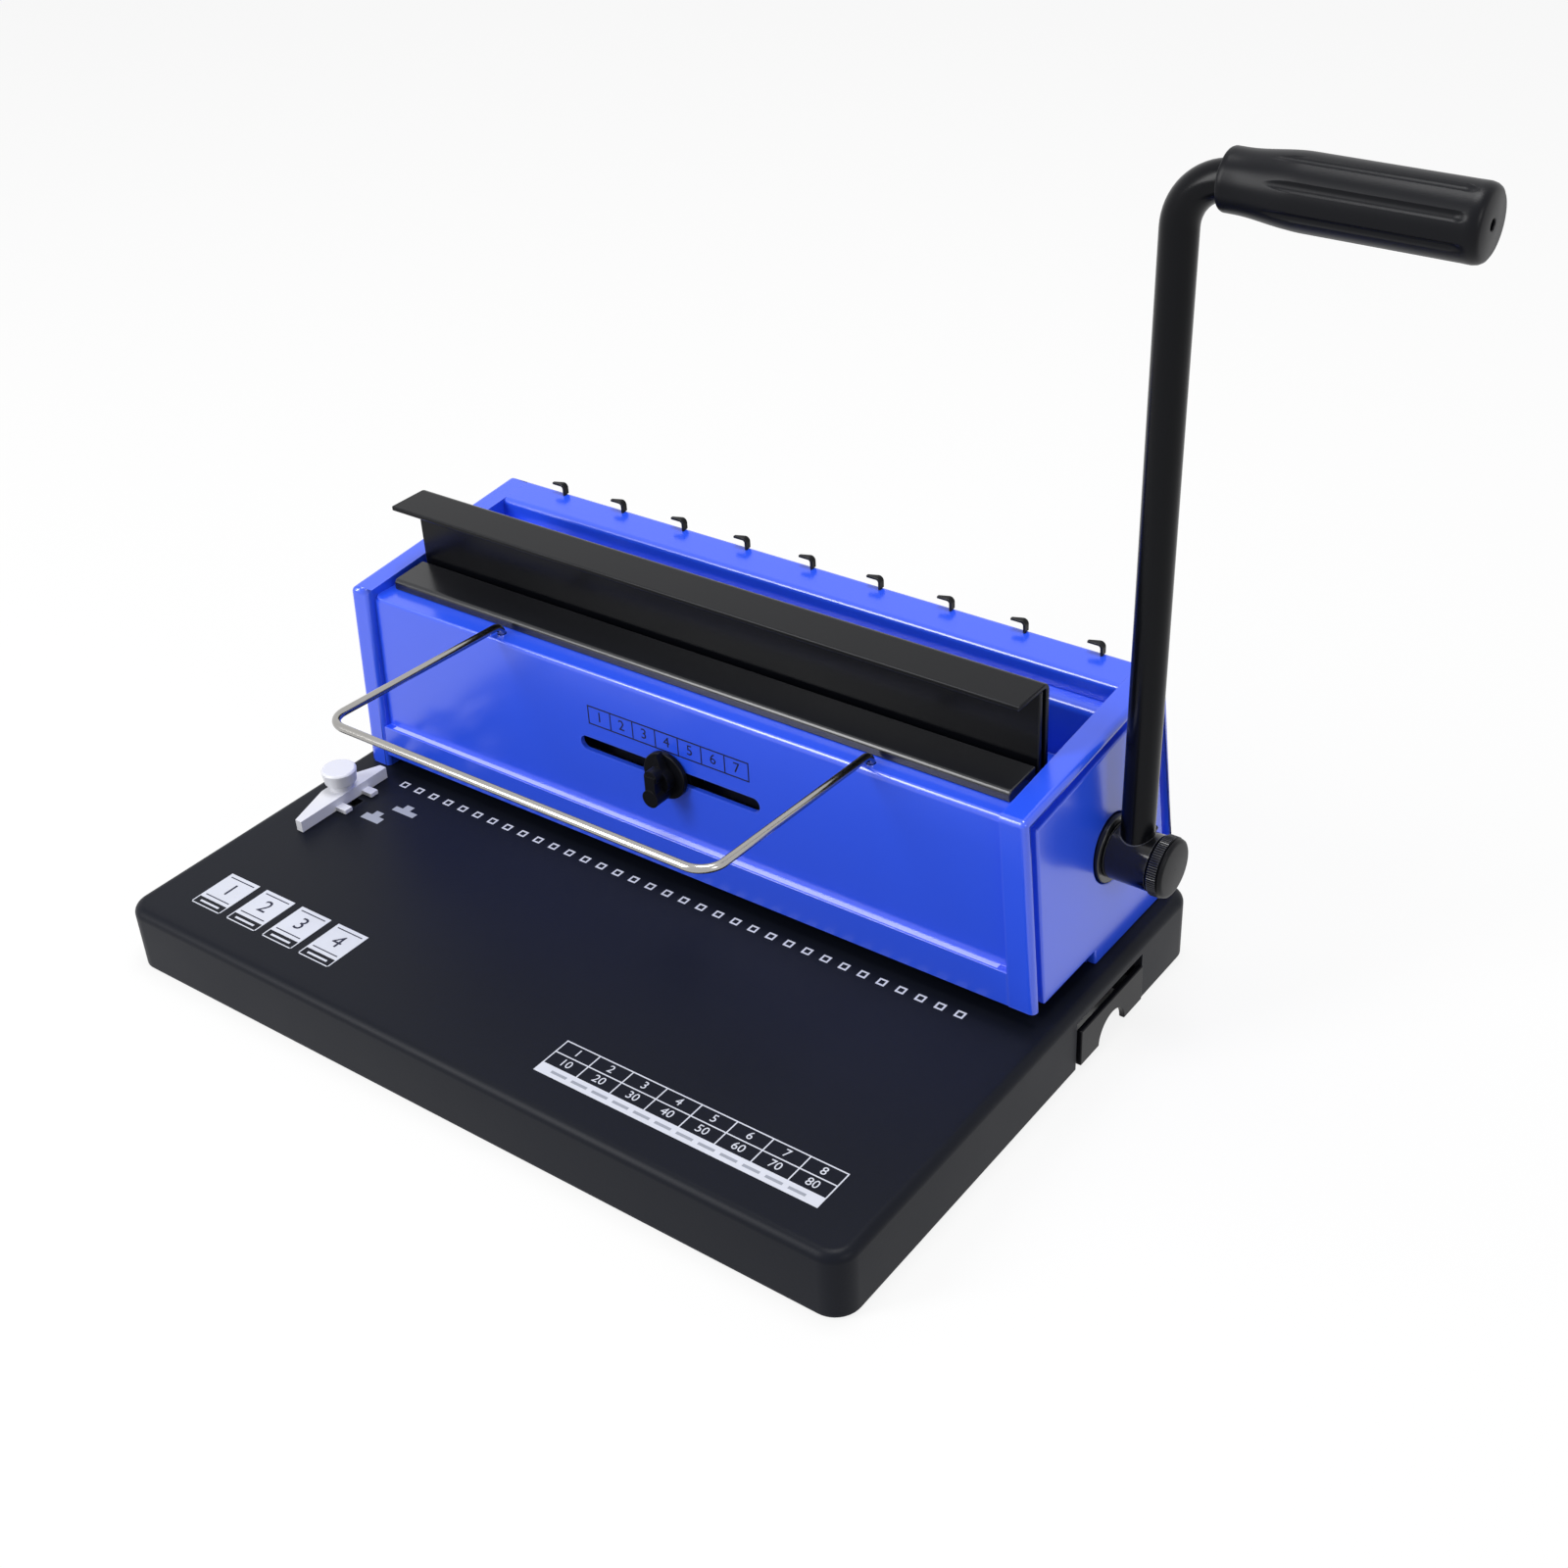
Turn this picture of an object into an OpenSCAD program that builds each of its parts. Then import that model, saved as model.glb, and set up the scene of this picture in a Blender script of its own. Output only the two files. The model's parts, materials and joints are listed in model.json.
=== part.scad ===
// Desk-top punch and binder for double-loop wire.
// X runs along the row of holes, Y from the operator to the back, Z up.
// The origin is the middle of the base, on the desk.

/* [Base] */
// Width of the base
base_width = 348; // [340:1:380]
// Depth of the base
base_depth = 237; // [230:1:270]
// Height of the paper table above the desk
base_height = 28.3; // [27:0.1:34]
// Corner radius of the base in plan
base_corner = 10; // [6:0.5:16]
// Radius of the base's top edge
base_edge = 4; // [2:0.5:6]
// Wall of the base
base_wall = 3; // [2:0.1:4]
// Gap between the base's rim and the desk
foot_lift = 1; // [0.6:0.1:2]
// Diameter of a rubber foot
foot_d = 18; // [12:0.5:24]
// Thickness of a stiffening rib under the table
rib_wall = 2.5; // [1.5:0.1:4]
// Diameter of the screws that hold the housing down
screw_d = 3.6; // [3:0.1:4]

/* [Housing] */
// Gap between the housing's side and the base's side edge
side_margin = 7.5; // [5:0.1:10]
// Lean of the housing's sides in degrees
side_lean = 3.6; // [2:0.1:4]
// Depth of the housing where it meets the base
housing_depth = 105.9; // [104:0.1:108]
// Height of the housing's front edge above the base
front_rise = 86.4; // [84:0.1:96]
// Height of the housing's back edge above the base
back_rise = 96.3; // [92:0.1:110]
// How far the back wall leans forward at its top
back_setback = 6; // [4:0.1:12]
// Gap between the housing's back and the base's back edge
back_margin = 0.5; // [0:0.1:3]
// Sheet thickness of the housing
sheet = 2; // [1:0.1:2.4]
// Width of an end frame
end_strip = 10.5; // [9:0.1:11.5]
// Depth of the recess in the front panel
recess = 3.2; // [2:0.1:4]
// Height of the front panel's ledge above the base
ledge_rise = 20.7; // [14:0.1:26]
// Drop of the front panel's top below the front edge
flange_drop = 2.9; // [2:0.1:5]
// Depth of the rim at the back of the opening
rim_depth = 17.2; // [12:0.1:18]
// Edge left round the pocket of a side cover
cover_border = 3; // [2:0.1:5]
// Groove between the pocket's edge and the side cover
cover_groove = 4.5; // [2:0.1:6]
// Depth of the pocket for a side cover
pocket_depth = 4; // [2:0.1:6]

/* [Punching] */
// Least distance from the base's side edge to the middle of the first hole
row_margin = 34; // [33:0.1:38]
// Distance from hole to hole
hole_pitch = 8.467; // [8:0.001:8.5]
// Side of the square hole
hole_side = 4; // [3:0.1:5]
// Height of the paper slot
slot_gap = 6.1; // [5:0.1:7]
// Depth of the paper slot behind the housing's front
slot_depth = 35.4; // [34:0.1:37]
// Distance from the paper's edge to the middle of the holes
edge_distance = 4.5; // [4:0.1:6]
// Thickness of the guide plate over the paper
stripper_thick = 6; // [4:0.1:8]
// Thickness of the die under the base's top
die_thick = 6; // [4:0.1:7]
// Thickness of the bar that carries the pins
punch_bar_thick = 10; // [8:0.1:10.4]
// Height of the bar that carries the pins
punch_bar_tall = 20; // [16:0.1:20.5]

/* [Wire closing] */
// Distance from an inner plate's outer face to the jaws' end
jaw_inset = 1.5; // [0.5:0.1:3]
// Depth of the fixed jaw
jaw_depth = 17; // [14:0.1:18]
// Thickness of the fixed jaw
jaw_thick = 5; // [4:0.1:7]
// Radius of the fixed jaw's front edge
jaw_nose = 2; // [1:0.1:2.4]
// Top of the closing bar above the housing's front edge
closing_rise = 32.8; // [30:0.1:40]
// Depth of the closing bar's flange
closing_depth = 20.5; // [18:0.1:22]
// Thickness of the closing bar's folded sheet
closing_sheet = 2; // [1.5:0.1:2.4]
// Gap between the two sheets of the closing bar
closing_gap = 2.5; // [2:0.1:2.6]
// Number of wire hooks on the rim
hook_count = 9; // [5:1:9]
// Distance from hook to hook
hook_pitch = 32.8; // [28:0.1:33]
// Height of a wire hook above the rim
hook_tall = 5; // [4:0.1:8]
// Reach of a wire hook
hook_reach = 6.5; // [5:0.1:10]

/* [Drive] */
// Pitch radius of a drive pinion
pitch_r = 12; // [11:0.1:13]
// Height of the shaft above the base
shaft_rise = 43.5; // [42:0.1:46]
// Diameter of the shaft
shaft_d = 16; // [12:0.5:16]
// Teeth on a drive pinion
pinion_teeth = 12; // [12:1:14]
// Width of a drive pinion
pinion_width = 10; // [8:0.5:16]
// Distance from an inner plate to the middle of a pinion
pinion_inset = 27; // [10:0.5:40]
// Turn of the handle from rest to the stop
handle_turn = 90; // [60:1:95]
// Diameter of the handle's rod
rod_d = 12.4; // [10:0.1:13]
// Distance from the hub's inner face to the rod's axis
rod_gap = 7.9; // [7:0.1:10]
// Outward lean of the handle in degrees
rod_lean = 0.7; // [0:0.1:2]
// Length of the handle from the shaft to the grip's axis
handle_reach = 248.8; // [200:0.1:280]
// Radius of the bend in the handle's rod
rod_bend = 17; // [12:0.1:20]
// Length of the grip
grip_length = 79; // [70:0.5:130]
// Widest diameter of the grip
grip_d = 22.8; // [20:0.1:30]
// Diameter of the grip at its inner end
grip_neck_d = 19.2; // [17:0.1:22]
// Number of flutes round the grip
flute_count = 8; // [6:1:10]
// Diameter of the handle's hub
hub_d = 21.4; // [21:0.1:26]
// Diameter of the flange round the shaft
flange_d = 26.4; // [24:0.1:34]
// Diameter of the clamp knob
clamp_d = 23.2; // [22:0.1:34]
// Thickness of the clamp knob
clamp_thick = 6.5; // [6:0.1:12]

/* [Settings] */
// Length of the slot for the size setting
set_slot_length = 88; // [60:1:100]
// Height of that slot
set_slot_tall = 6.4; // [5.6:0.1:8]
// Height of the slot's middle above the base
set_slot_rise = 49.7; // [44:0.1:54]
// Place of the slot's middle along the front
set_slot_x = 1.4; // [-10:0.1:10]
// Height of the size knob's fin with its pointer
wing_span = 20; // [18:0.5:24]
// Diameter of the disc behind the fin
wing_disc_d = 20; // [16:0.5:24]
// Diameter of the size knob's spindle
spindle_d = 5; // [4:0.1:5.2]

/* [Edge guide] */
// Length of the guide bar
guide_length = 49; // [40:0.5:50]
// Width of the guide bar at its bolt
guide_width = 10; // [8:0.1:14]
// Height of the guide bar
guide_bar_tall = 5.2; // [4:0.1:7]
// Height of the boss under the guide's knob
guide_tall = 7.6; // [7.2:0.1:12]
// Distance from the row's last hole to the guide's face
guide_margin = 10.3; // [7:0.1:13]
// Gap between the guide's back end and the housing's front
guide_gap = 7.1; // [6:0.1:12]
// Diameter of the guide's knob
guide_knob_d = 15; // [12:0.1:20]
// Travel of the guide each way
guide_travel = 6; // [3:0.5:6]
// Diameter of the guide's bolt
guide_bolt_d = 5; // [4:0.1:6]

/* [Sheet rest] */
// Diameter of the rest's wire
rest_wire_d = 3.2; // [3:0.1:5]
// Distance between the rest's legs
rest_span = 177; // [140:1:200]
// Shift of the rest along the front
rest_shift = 4.6; // [-8:0.1:8]
// Reach of the rest in front of its holes
rest_reach = 93.5; // [60:1:110]
// Rise of the rest towards the operator in degrees
rest_tilt = 2.6; // [0:0.1:6]
// Bend radius at the rest's corners
rest_bend = 9; // [6:0.1:14]
// Length of the rest's pins below the panel
rest_pin = 9; // [6:0.5:10]

/* [Chip tray] */
// Depth of the tray from front to back
tray_depth = 46; // [40:0.5:47]
// Distance from the middle of the holes to the middle of the tray
tray_offset = 11; // [10:0.1:12]
// Height of the tray's end plate
tray_end_tall = 15; // [12:0.1:17]
// Height of the tray's walls
tray_wall_tall = 9.3; // [6:0.1:9.6]
// Wall of the tray
tray_wall = 1.6; // [1:0.1:2.4]
// Radius of the tray's finger notch
notch_r = 9.5; // [6:0.1:10]

/* [Hidden] */
$fn = 64;

// Clearances: flat pieces that slide, round pieces that turn, seams between fixed pieces
slide_gap = 0.3;
turn_gap = 0.05;
fit_gap = 0.02;
seam = 0.05;
reach_past = 1;

// Levels of the base
table_z = base_height;
under_table_z = table_z - base_wall;
rim_z = foot_lift;
foot_inset = 24;
screw_grip = 9;
screw_head = 2;
screw_inset = 14;

// Levels and places of the housing
housing_width = base_width - 2 * side_margin;
lean = tan(side_lean);
back_y = base_depth / 2 - back_margin;
front_y = back_y - housing_depth;
top_back_y = back_y - back_setback;
front_top = table_z + front_rise;
back_top = table_z + back_rise;
panel_y = front_y + recess;
ledge_z = table_z + ledge_rise;
flange_z = front_top - flange_drop;
rim_y = top_back_y - rim_depth;
slot_z = table_z + slot_gap;
throat_back = front_y + slot_depth + edge_distance + 4;
side_reach = housing_width / 2 + 10;

// Places of the punch
stop_y = front_y + slot_depth;
pin_y = stop_y - edge_distance;
hole_count = floor((base_width - 2 * row_margin) / hole_pitch) + 1;
row_half = (hole_count - 1) * hole_pitch / 2;
plate_thick = 4;
plate_tail = 32;
foot_thick = 3;
foot_screw_front = 12;
foot_screw_back = 8;
foot_screw_d = 4.6;
plate_margin = 3.3;
plate_in = row_half + hole_side / 2 + plate_margin;
plate_out = plate_in + plate_thick;
stop_thick = 4;
die_front_margin = 8;
die_back_margin = 2.5;
die_front = pin_y - die_front_margin;
die_back = stop_y + stop_thick + die_back_margin;
die_lip = 2;
hole_gap = 0.15;
stripper_top = slot_z + stripper_thick;

// Places of the closing bar
web_back = pin_y + punch_bar_thick / 2 + closing_sheet;
web_front = web_back - closing_sheet;
face_back = web_front - closing_gap;
face_front = face_back - closing_sheet;
closing_top = front_top + closing_rise;
jaw_length = 2 * (plate_out - jaw_inset);
jaw_back = face_front - 2;
jaw_front = jaw_back - jaw_depth;
panel_flange_back = jaw_back - 1.5;
hook_y = top_back_y - 2;
hook_shift = 4.6;

// Drive: the rack's pitch line lies just behind the closing bar's web
shaft_z = table_z + shaft_rise;
rack_base = 6.2;
rack_root = 2.2;
rack_tip = 1.4;
pinion_tip = 1.8;
pinion_root = 1.8;
pitch_y = web_back + rack_base + rack_root;
shaft_y = pitch_y + pitch_r;
pinion_x = plate_in - pinion_inset;
tooth_pitch = 2 * PI * pitch_r / pinion_teeth;
tooth_backlash = 0.3;
pressure_angle = 20;
stroke = pitch_r * handle_turn * PI / 180;
rack_width = pinion_width + 2;
press_screw_margin = 22;
press_screw_x = pinion_x - rack_width / 2 - press_screw_margin;
press_screw_d = 7;
press_screw_head = 2.2;
bar_bottom = stripper_top + stroke + 4.5;
guide_low = stripper_top + 4.5;
web_low = bar_bottom + 2;
bar_top = bar_bottom + punch_bar_tall;
pin_tip_z = slot_z + 0.6;
pin_seat = 10;
bush_d = shaft_d + 6;

// Handle
cover_out = housing_width / 2 - lean * shaft_rise;
flange_proud = 1.2;
flange_out = cover_out + flange_proud;
hub_in = flange_out + slide_gap;
rod_x = hub_in + rod_gap;
hub_past = 2.5;
hub_out = rod_x + rod_d / 2 + hub_past;
clamp_in = hub_out + slide_gap;
stud_d = 8;
hub_screw_d = 4.6;
grip_mouth = 2.5;
grip_in = rod_bend - grip_mouth;
grip_end_wall = 8;
flute_d = 4;
flute_deep = 0.8;

// Return springs
spring_x = 60;
spring_d = 6;
spring_wire = 1;
spring_turns = 8;
spring_rings = 8;
spring_sides = 6;
spring_y = web_back + 4.5;
lug_thick = 3;
lug_deep = 8;
lug_wide = 12;
bracket_wide = 16;
lug_z = web_low;
trough_front = pitch_y + rack_tip + 1.2;
trough_z = shaft_z + pitch_r + pinion_tip + 3;
spring_low = lug_z + lug_thick;
spring_high = trough_z - lug_thick;

// Sheet rest
rest_left = rest_shift - rest_span / 2;
rest_right = rest_shift + rest_span / 2;
rest_socket_d = rest_wire_d + 2.4;
rest_hole_y = panel_y + sheet + rest_socket_d / 2 + seam;
rest_fold = 4;
rest_leg_rise = 3.7;

// Chip tray
tray_y = pin_y + tray_offset;
tray_floor_z = foot_lift + 2.2;
rail_lip = 1.4;
rail_z = tray_floor_z - 0.2 - rail_lip;
rail_wall = 1.5;
tray_end_x = base_width / 2 + 1.3;
tray_end_thick = 2.3;
tray_left = -plate_out - 1;
tray_box_end = base_width / 2 - 16;
tray_opening_top = table_z - base_wall - 3;
tray_window = 1.5;

// Size setting and edge guide
set_slot_z = table_z + set_slot_rise;
wing_disc_thick = 2.3;
slider_deep = 8;
stop_rail_tall = 20;
guide_face_x = row_half + guide_margin;
guide_back_y = front_y - guide_gap;
guide_x = -guide_face_x - guide_width / 2;
guide_bolt_y = guide_back_y - 21;
guide_slot_wide = guide_bolt_d + 0.8;
guide_nut_thick = 3;
guide_nut_side = 12;
guide_knob_tall = 7;

blue = "#2b50e0";
black = "#1c1d22";
slate = "#24262e";
steel = "#9a9ca2";
chrome = "#d8dade";
ivory = "#e6e6ea";

// Shared forms

function half_width(z, inset) = housing_width / 2 - inset - lean * (z - table_z);
function top_at(y) = front_top + (y - front_y) * (back_top - front_top) / (top_back_y - front_y);

// A flat shape given in Y and Z, run along X
module along_x(x0, x1) {
    translate([x0, 0, 0])
        rotate([90, 0, 90])
            linear_extrude(x1 - x0)
                children();
}

// A flat shape given in X and Z, run along Y
module along_y(y0, y1) {
    translate([0, y1, 0])
        rotate([90, 0, 0])
            linear_extrude(y1 - y0)
                children();
}

// A box between two corners
module block(low, high) {
    translate(low)
        cube(high - low);
}

// A round bar along X
module bar_x(x0, x1, d) {
    translate([x0, 0, 0])
        rotate([0, 90, 0])
            cylinder(h = x1 - x0, d = d);
}

// A round bar along Y
module bar_y(y0, y1, d) {
    translate([0, y0, 0])
        rotate([-90, 0, 0])
            cylinder(h = y1 - y0, d = d);
}

// The leaning space between the housing's sides, drawn in by an inset
module span(inset) {
    low = table_z - reach_past;
    high = back_top + reach_past;
    along_y(front_y - reach_past, back_y + reach_past)
        polygon([
            [-half_width(low, inset), low],
            [half_width(low, inset), low],
            [half_width(high, inset), high],
            [-half_width(high, inset), high]
        ]);
}

// One leaning side between two insets: side is 1 at the right, -1 at the left
module side_layer(side, outer, inner) {
    low = table_z - reach_past;
    high = back_top + reach_past;
    along_y(front_y - reach_past, back_y + reach_past)
        polygon([
            [side * half_width(low, inner), low],
            [side * half_width(low, outer), low],
            [side * half_width(high, outer), high],
            [side * half_width(high, inner), high]
        ]);
}

// The housing's outline seen from the side, drawn in at front, top and back
module side_outline(inset) {
    along_x(-side_reach, side_reach)
        polygon([
            [front_y + inset, table_z],
            [front_y + inset, top_at(front_y + inset) - inset],
            [top_back_y - inset, back_top - inset],
            [back_y - inset, table_z]
        ]);
}

// The open end of the paper slot at the right
module throat() {
    block([0, front_y - reach_past, table_z - reach_past], [side_reach, throat_back, slot_z]);
}

module shaft_bore(d) {
    translate([0, shaft_y, shaft_z])
        bar_x(0, side_reach, d);
}

// A slab with round corners and a round top edge
module rounded_slab(w, d, z0, z1, corner, edge) {
    for (sx = [-1, 1], sy = [-1, 1])
        translate([sx * (w / 2 - corner), sy * (d / 2 - corner), z0])
            rotate_extrude()
                edge_profile(corner, z1 - z0, edge);
    along_x(-w / 2 + corner, w / 2 - corner)
        translate([0, z0])
            bar_profile(d, z1 - z0, edge);
    along_y(-d / 2 + corner, d / 2 - corner)
        translate([0, z0])
            bar_profile(w, z1 - z0, edge);
}

module edge_profile(r, h, edge) {
    square([r - edge, h]);
    square([r, h - edge]);
    translate([r - edge, h - edge])
        intersection() {
            circle(edge);
            square(edge);
        }
}

module bar_profile(w, h, edge) {
    translate([-w / 2, 0])
        square([w, h - edge]);
    translate([-w / 2 + edge, 0])
        square([w - 2 * edge, h]);
    for (s = [-1, 1])
        translate([s * (w / 2 - edge), h - edge])
            circle(edge);
}

// A row of square bars at the holes' places
module hole_row(side, z0, z1) {
    for (i = [0:hole_count - 1])
        translate([i * hole_pitch - row_half, pin_y, 0])
            block([-side / 2, -side / 2, z0], [side / 2, side / 2, z1]);
}

// A pan-head screw with its head up
module screw(shank_d, head_d, shank, head) {
    translate([0, 0, -shank])
        cylinder(h = shank, d = shank_d);
    cylinder(h = head, d = head_d);
}

// Fixed pieces

module base_shell() {
    color(slate)
        difference() {
            union() {
                difference() {
                    rounded_slab(base_width, base_depth, rim_z, table_z, base_corner, base_edge);
                    rounded_slab(base_width - 2 * base_wall, base_depth - 2 * base_wall,
                        rim_z - reach_past, under_table_z, base_corner - base_wall,
                        min(base_edge, base_corner - base_wall) / 2);
                }
                base_ribs();
                foot_bosses();
            }
            block([-plate_in + slide_gap, die_front + die_lip, under_table_z - reach_past],
                [plate_in - slide_gap, die_back - die_lip, table_z + reach_past]);
            tray_window_cut();
            guide_slot();
            translate([0, 0, -reach_past])
                housing_screw_holes();
        }
}

// Ribs: two from front to back, and one along each side of the tray's bay
module base_ribs() {
    inside_x = base_width / 2 - base_wall;
    inside_y = base_depth / 2 - base_wall;
    rail_front = tray_y - tray_depth / 2 - slide_gap - rail_wall;
    rail_back = tray_y + tray_depth / 2 + slide_gap + rail_wall;
    for (x = [-base_width / 6, base_width / 6])
        block([x - rib_wall / 2, -inside_y - seam, rim_z + foot_lift],
            [x + rib_wall / 2, rail_front - rib_wall, under_table_z + seam]);
    for (y = [rail_front - rib_wall, rail_back])
        block([-inside_x - seam, y, rim_z + foot_lift], [inside_x + seam, y + rib_wall, under_table_z + seam]);
}

module foot_places() {
    for (sx = [-1, 1], sy = [-1, 1])
        translate([sx * (base_width / 2 - foot_inset), sy * (base_depth / 2 - foot_inset), 0])
            children();
}

module foot_bosses() {
    foot_places()
        translate([0, 0, rim_z + foot_lift])
            cylinder(h = under_table_z - rim_z - foot_lift + seam, d = foot_d);
}

module tray_window_cut() {
    half = tray_depth / 2 + tray_window;
    block([base_width / 2 - 2 * base_wall, tray_y - half, 0],
        [base_width / 2 + reach_past, tray_y + half, tray_opening_top]);
}

module guide_slot() {
    reach = guide_travel + guide_slot_wide / 2;
    block([guide_x - reach, guide_bolt_y - guide_slot_wide / 2, under_table_z - reach_past],
        [guide_x + reach, guide_bolt_y + guide_slot_wide / 2, table_z + reach_past]);
}

module rubber_feet() {
    color(black)
        foot_places() {
            cylinder(h = rim_z + foot_lift, d = foot_d - 2);
        }
}

module front_panel() {
    color(blue)
        difference() {
            intersection() {
                along_x(-side_reach, side_reach)
                    front_profile();
                span(end_strip + seam);
            }
            setting_slot();
            for (x = [rest_left, rest_right])
                translate([x, rest_hole_y, flange_z - sheet - reach_past])
                    cylinder(h = sheet + 2 * reach_past, d = rest_wire_d + 2 * slide_gap);
        }
}

// The bent sheet: lower band, ledge, recessed face and top flange
module front_profile() {
    polygon([
        [front_y, slot_z],
        [front_y, ledge_z],
        [panel_y, ledge_z],
        [panel_y, flange_z],
        [panel_flange_back, flange_z],
        [panel_flange_back, flange_z - sheet],
        [panel_y + sheet, flange_z - sheet],
        [panel_y + sheet, ledge_z - sheet],
        [front_y + sheet, ledge_z - sheet],
        [front_y + sheet, slot_z]
    ]);
}

module setting_slot() {
    flat = (set_slot_length - set_slot_tall) / 2;
    translate([set_slot_x, 0, set_slot_z]) {
        block([-flat, panel_y - reach_past, -set_slot_tall / 2],
            [flat, panel_y + sheet + reach_past, set_slot_tall / 2]);
        for (s = [-1, 1])
            translate([s * flat, 0, 0])
                bar_y(panel_y - reach_past, panel_y + sheet + reach_past, set_slot_tall);
    }
}

module end_frame(side) {
    color(blue)
        difference() {
            intersection() {
                side_outline(0);
                side_layer(side, 0, end_strip);
            }
            intersection() {
                side_outline(cover_border);
                side_layer(side, -reach_past, pocket_depth);
            }
            housing_screw_holes();
            if (side > 0) {
                throat();
                shaft_bore(shaft_d + 4);
            }
        }
}

module left_end_frame() {
    end_frame(-1);
}

module right_end_frame() {
    end_frame(1);
}

module side_cover(side) {
    color(blue)
        difference() {
            intersection() {
                side_outline(cover_border + cover_groove);
                side_layer(side, 0.2, pocket_depth - seam);
            }
            if (side > 0) {
                throat();
                shaft_bore(flange_d + 2 * slide_gap);
            }
        }
}

module left_side_cover() {
    side_cover(-1);
}

module right_side_cover() {
    side_cover(1);
}

module rear_cover() {
    color(blue)
        intersection() {
            along_x(-side_reach, side_reach)
                rear_profile();
            span(end_strip + seam);
        }
}

// The back wall folds forward over the rim and down to the trough
module rear_profile() {
    polygon([
        [back_y, table_z],
        [top_back_y, back_top],
        [rim_y, top_at(rim_y)],
        [rim_y, top_at(rim_y) - 8],
        [rim_y + sheet, top_at(rim_y) - 8],
        [rim_y + sheet, top_at(rim_y) - sheet],
        [top_back_y - sheet, back_top - sheet],
        [back_y - sheet, table_z]
    ]);
}

module wire_trough() {
    color(blue)
        intersection() {
            along_x(-side_reach, side_reach)
                trough_profile();
            span(end_strip + seam);
        }
}

// Ledge under the rim with a round shoulder, then the wall and the floor
module trough_profile() {
    shoulder = 4;
    ledge = 7;
    ledge_top = top_at(rim_y) - 8 - seam;
    wall_y = rim_y - ledge;
    translate([wall_y + shoulder, ledge_top - sheet])
        square([ledge + sheet - shoulder, sheet]);
    translate([wall_y + shoulder, ledge_top - shoulder])
        intersection() {
            difference() {
                circle(shoulder);
                circle(shoulder - sheet);
            }
            translate([-shoulder, 0])
                square(shoulder);
        }
    translate([wall_y, trough_z])
        square([sheet, ledge_top - shoulder - trough_z]);
    translate([trough_front, trough_z])
        square([wall_y + sheet - trough_front, sheet]);
}

module wire_hooks() {
    color(black)
        for (i = [0:hook_count - 1])
            translate([(i - (hook_count - 1) / 2) * hook_pitch + hook_shift, hook_y, 0])
                wire_hook();
}

// A bent strip: the stem stands on the rim, the arm points to the left and narrows
module wire_hook() {
    strip = 1;
    wide = 3;
    bend = 2;
    foot_z = top_at(hook_y - wide / 2);
    difference() {
        along_y(-wide / 2, wide / 2) {
            translate([-strip, foot_z])
                square([strip, hook_tall - bend]);
            translate([-bend, foot_z + hook_tall - bend])
                intersection() {
                    difference() {
                        circle(bend);
                        circle(bend - strip);
                    }
                    square(bend);
                }
            translate([-hook_reach, foot_z + hook_tall - strip])
                square([hook_reach - bend, strip]);
        }
        rotate([0, 0, 22])
            block([-2 * hook_reach, wide * 0.75, 0], [hook_reach, 3 * wide, 2 * back_top]);
        along_x(-hook_reach, hook_reach)
            polygon([
                [-wide, top_at(hook_y - wide) - 2 * sheet],
                [wide, top_at(hook_y + wide) - 2 * sheet],
                [wide, top_at(hook_y + wide)],
                [-wide, top_at(hook_y - wide)]
            ]);
    }
}

// The fixed jaw lies on the panel's flange: its top rises to the back, its front edge is round
module fixed_jaw() {
    front_tall = jaw_thick * 0.9;
    color(black)
        along_x(-jaw_length / 2, jaw_length / 2)
            difference() {
                polygon([
                    [jaw_front, flange_z],
                    [jaw_front, flange_z + front_tall],
                    [jaw_front + jaw_nose, flange_z + front_tall],
                    [jaw_back, flange_z + jaw_thick * 1.1],
                    [jaw_back, flange_z]
                ]);
                translate([jaw_front + jaw_nose, flange_z + front_tall - jaw_nose])
                    difference() {
                        translate([-jaw_nose - reach_past, 0])
                            square([jaw_nose + reach_past, jaw_nose + reach_past]);
                        circle(jaw_nose);
                    }
            }
}

// Inner plates: they carry the shaft and guide the ends of the closing bar
module side_plate(side) {
    foot_long = 8;
    color(steel)
        difference() {
            union() {
                along_x(side > 0 ? plate_in : -plate_out, side > 0 ? plate_out : -plate_in)
                    polygon([
                        [throat_back, table_z],
                        [shaft_y + plate_tail, table_z],
                        [shaft_y + plate_tail, trough_z],
                        [web_back + slide_gap, trough_z],
                        [web_back + slide_gap, guide_low],
                        [face_front - slide_gap, guide_low],
                        [face_front - slide_gap, flange_z - sheet],
                        [panel_y + sheet + 4, flange_z - sheet],
                        [panel_y + sheet + 4, stripper_top + 8],
                        [die_front, slot_z],
                        [throat_back, slot_z]
                    ]);
                block([side > 0 ? plate_out - seam : -plate_out - foot_long + 3, throat_back + 4, table_z],
                    [side > 0 ? plate_out + foot_long - 3 : -plate_out + seam,
                        shaft_y + plate_tail, table_z + foot_thick]);
            }
            translate([0, shaft_y, shaft_z])
                bar_x(-side_reach, side_reach, bush_d + 2 * fit_gap);
        }
}

module left_side_plate() {
    side_plate(-1);
}

module right_side_plate() {
    side_plate(1);
}

// The die: its upper step fills the window in the table, its lip seats under the table
module die_plate() {
    color(steel)
        difference() {
            union() {
                block([-plate_out, die_front, under_table_z - die_thick], [plate_out, die_back, under_table_z]);
                block([-plate_in + 2 * slide_gap, die_front + die_lip + slide_gap, under_table_z - seam],
                    [plate_in - 2 * slide_gap, die_back - die_lip - slide_gap, table_z]);
            }
            hole_row(hole_side + 2 * hole_gap, 0, table_z + reach_past);
        }
}

module paper_stop() {
    color(steel)
        block([-plate_in + slide_gap, stop_y, table_z], [plate_in - slide_gap, stop_y + stop_thick, slot_z]);
}

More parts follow.
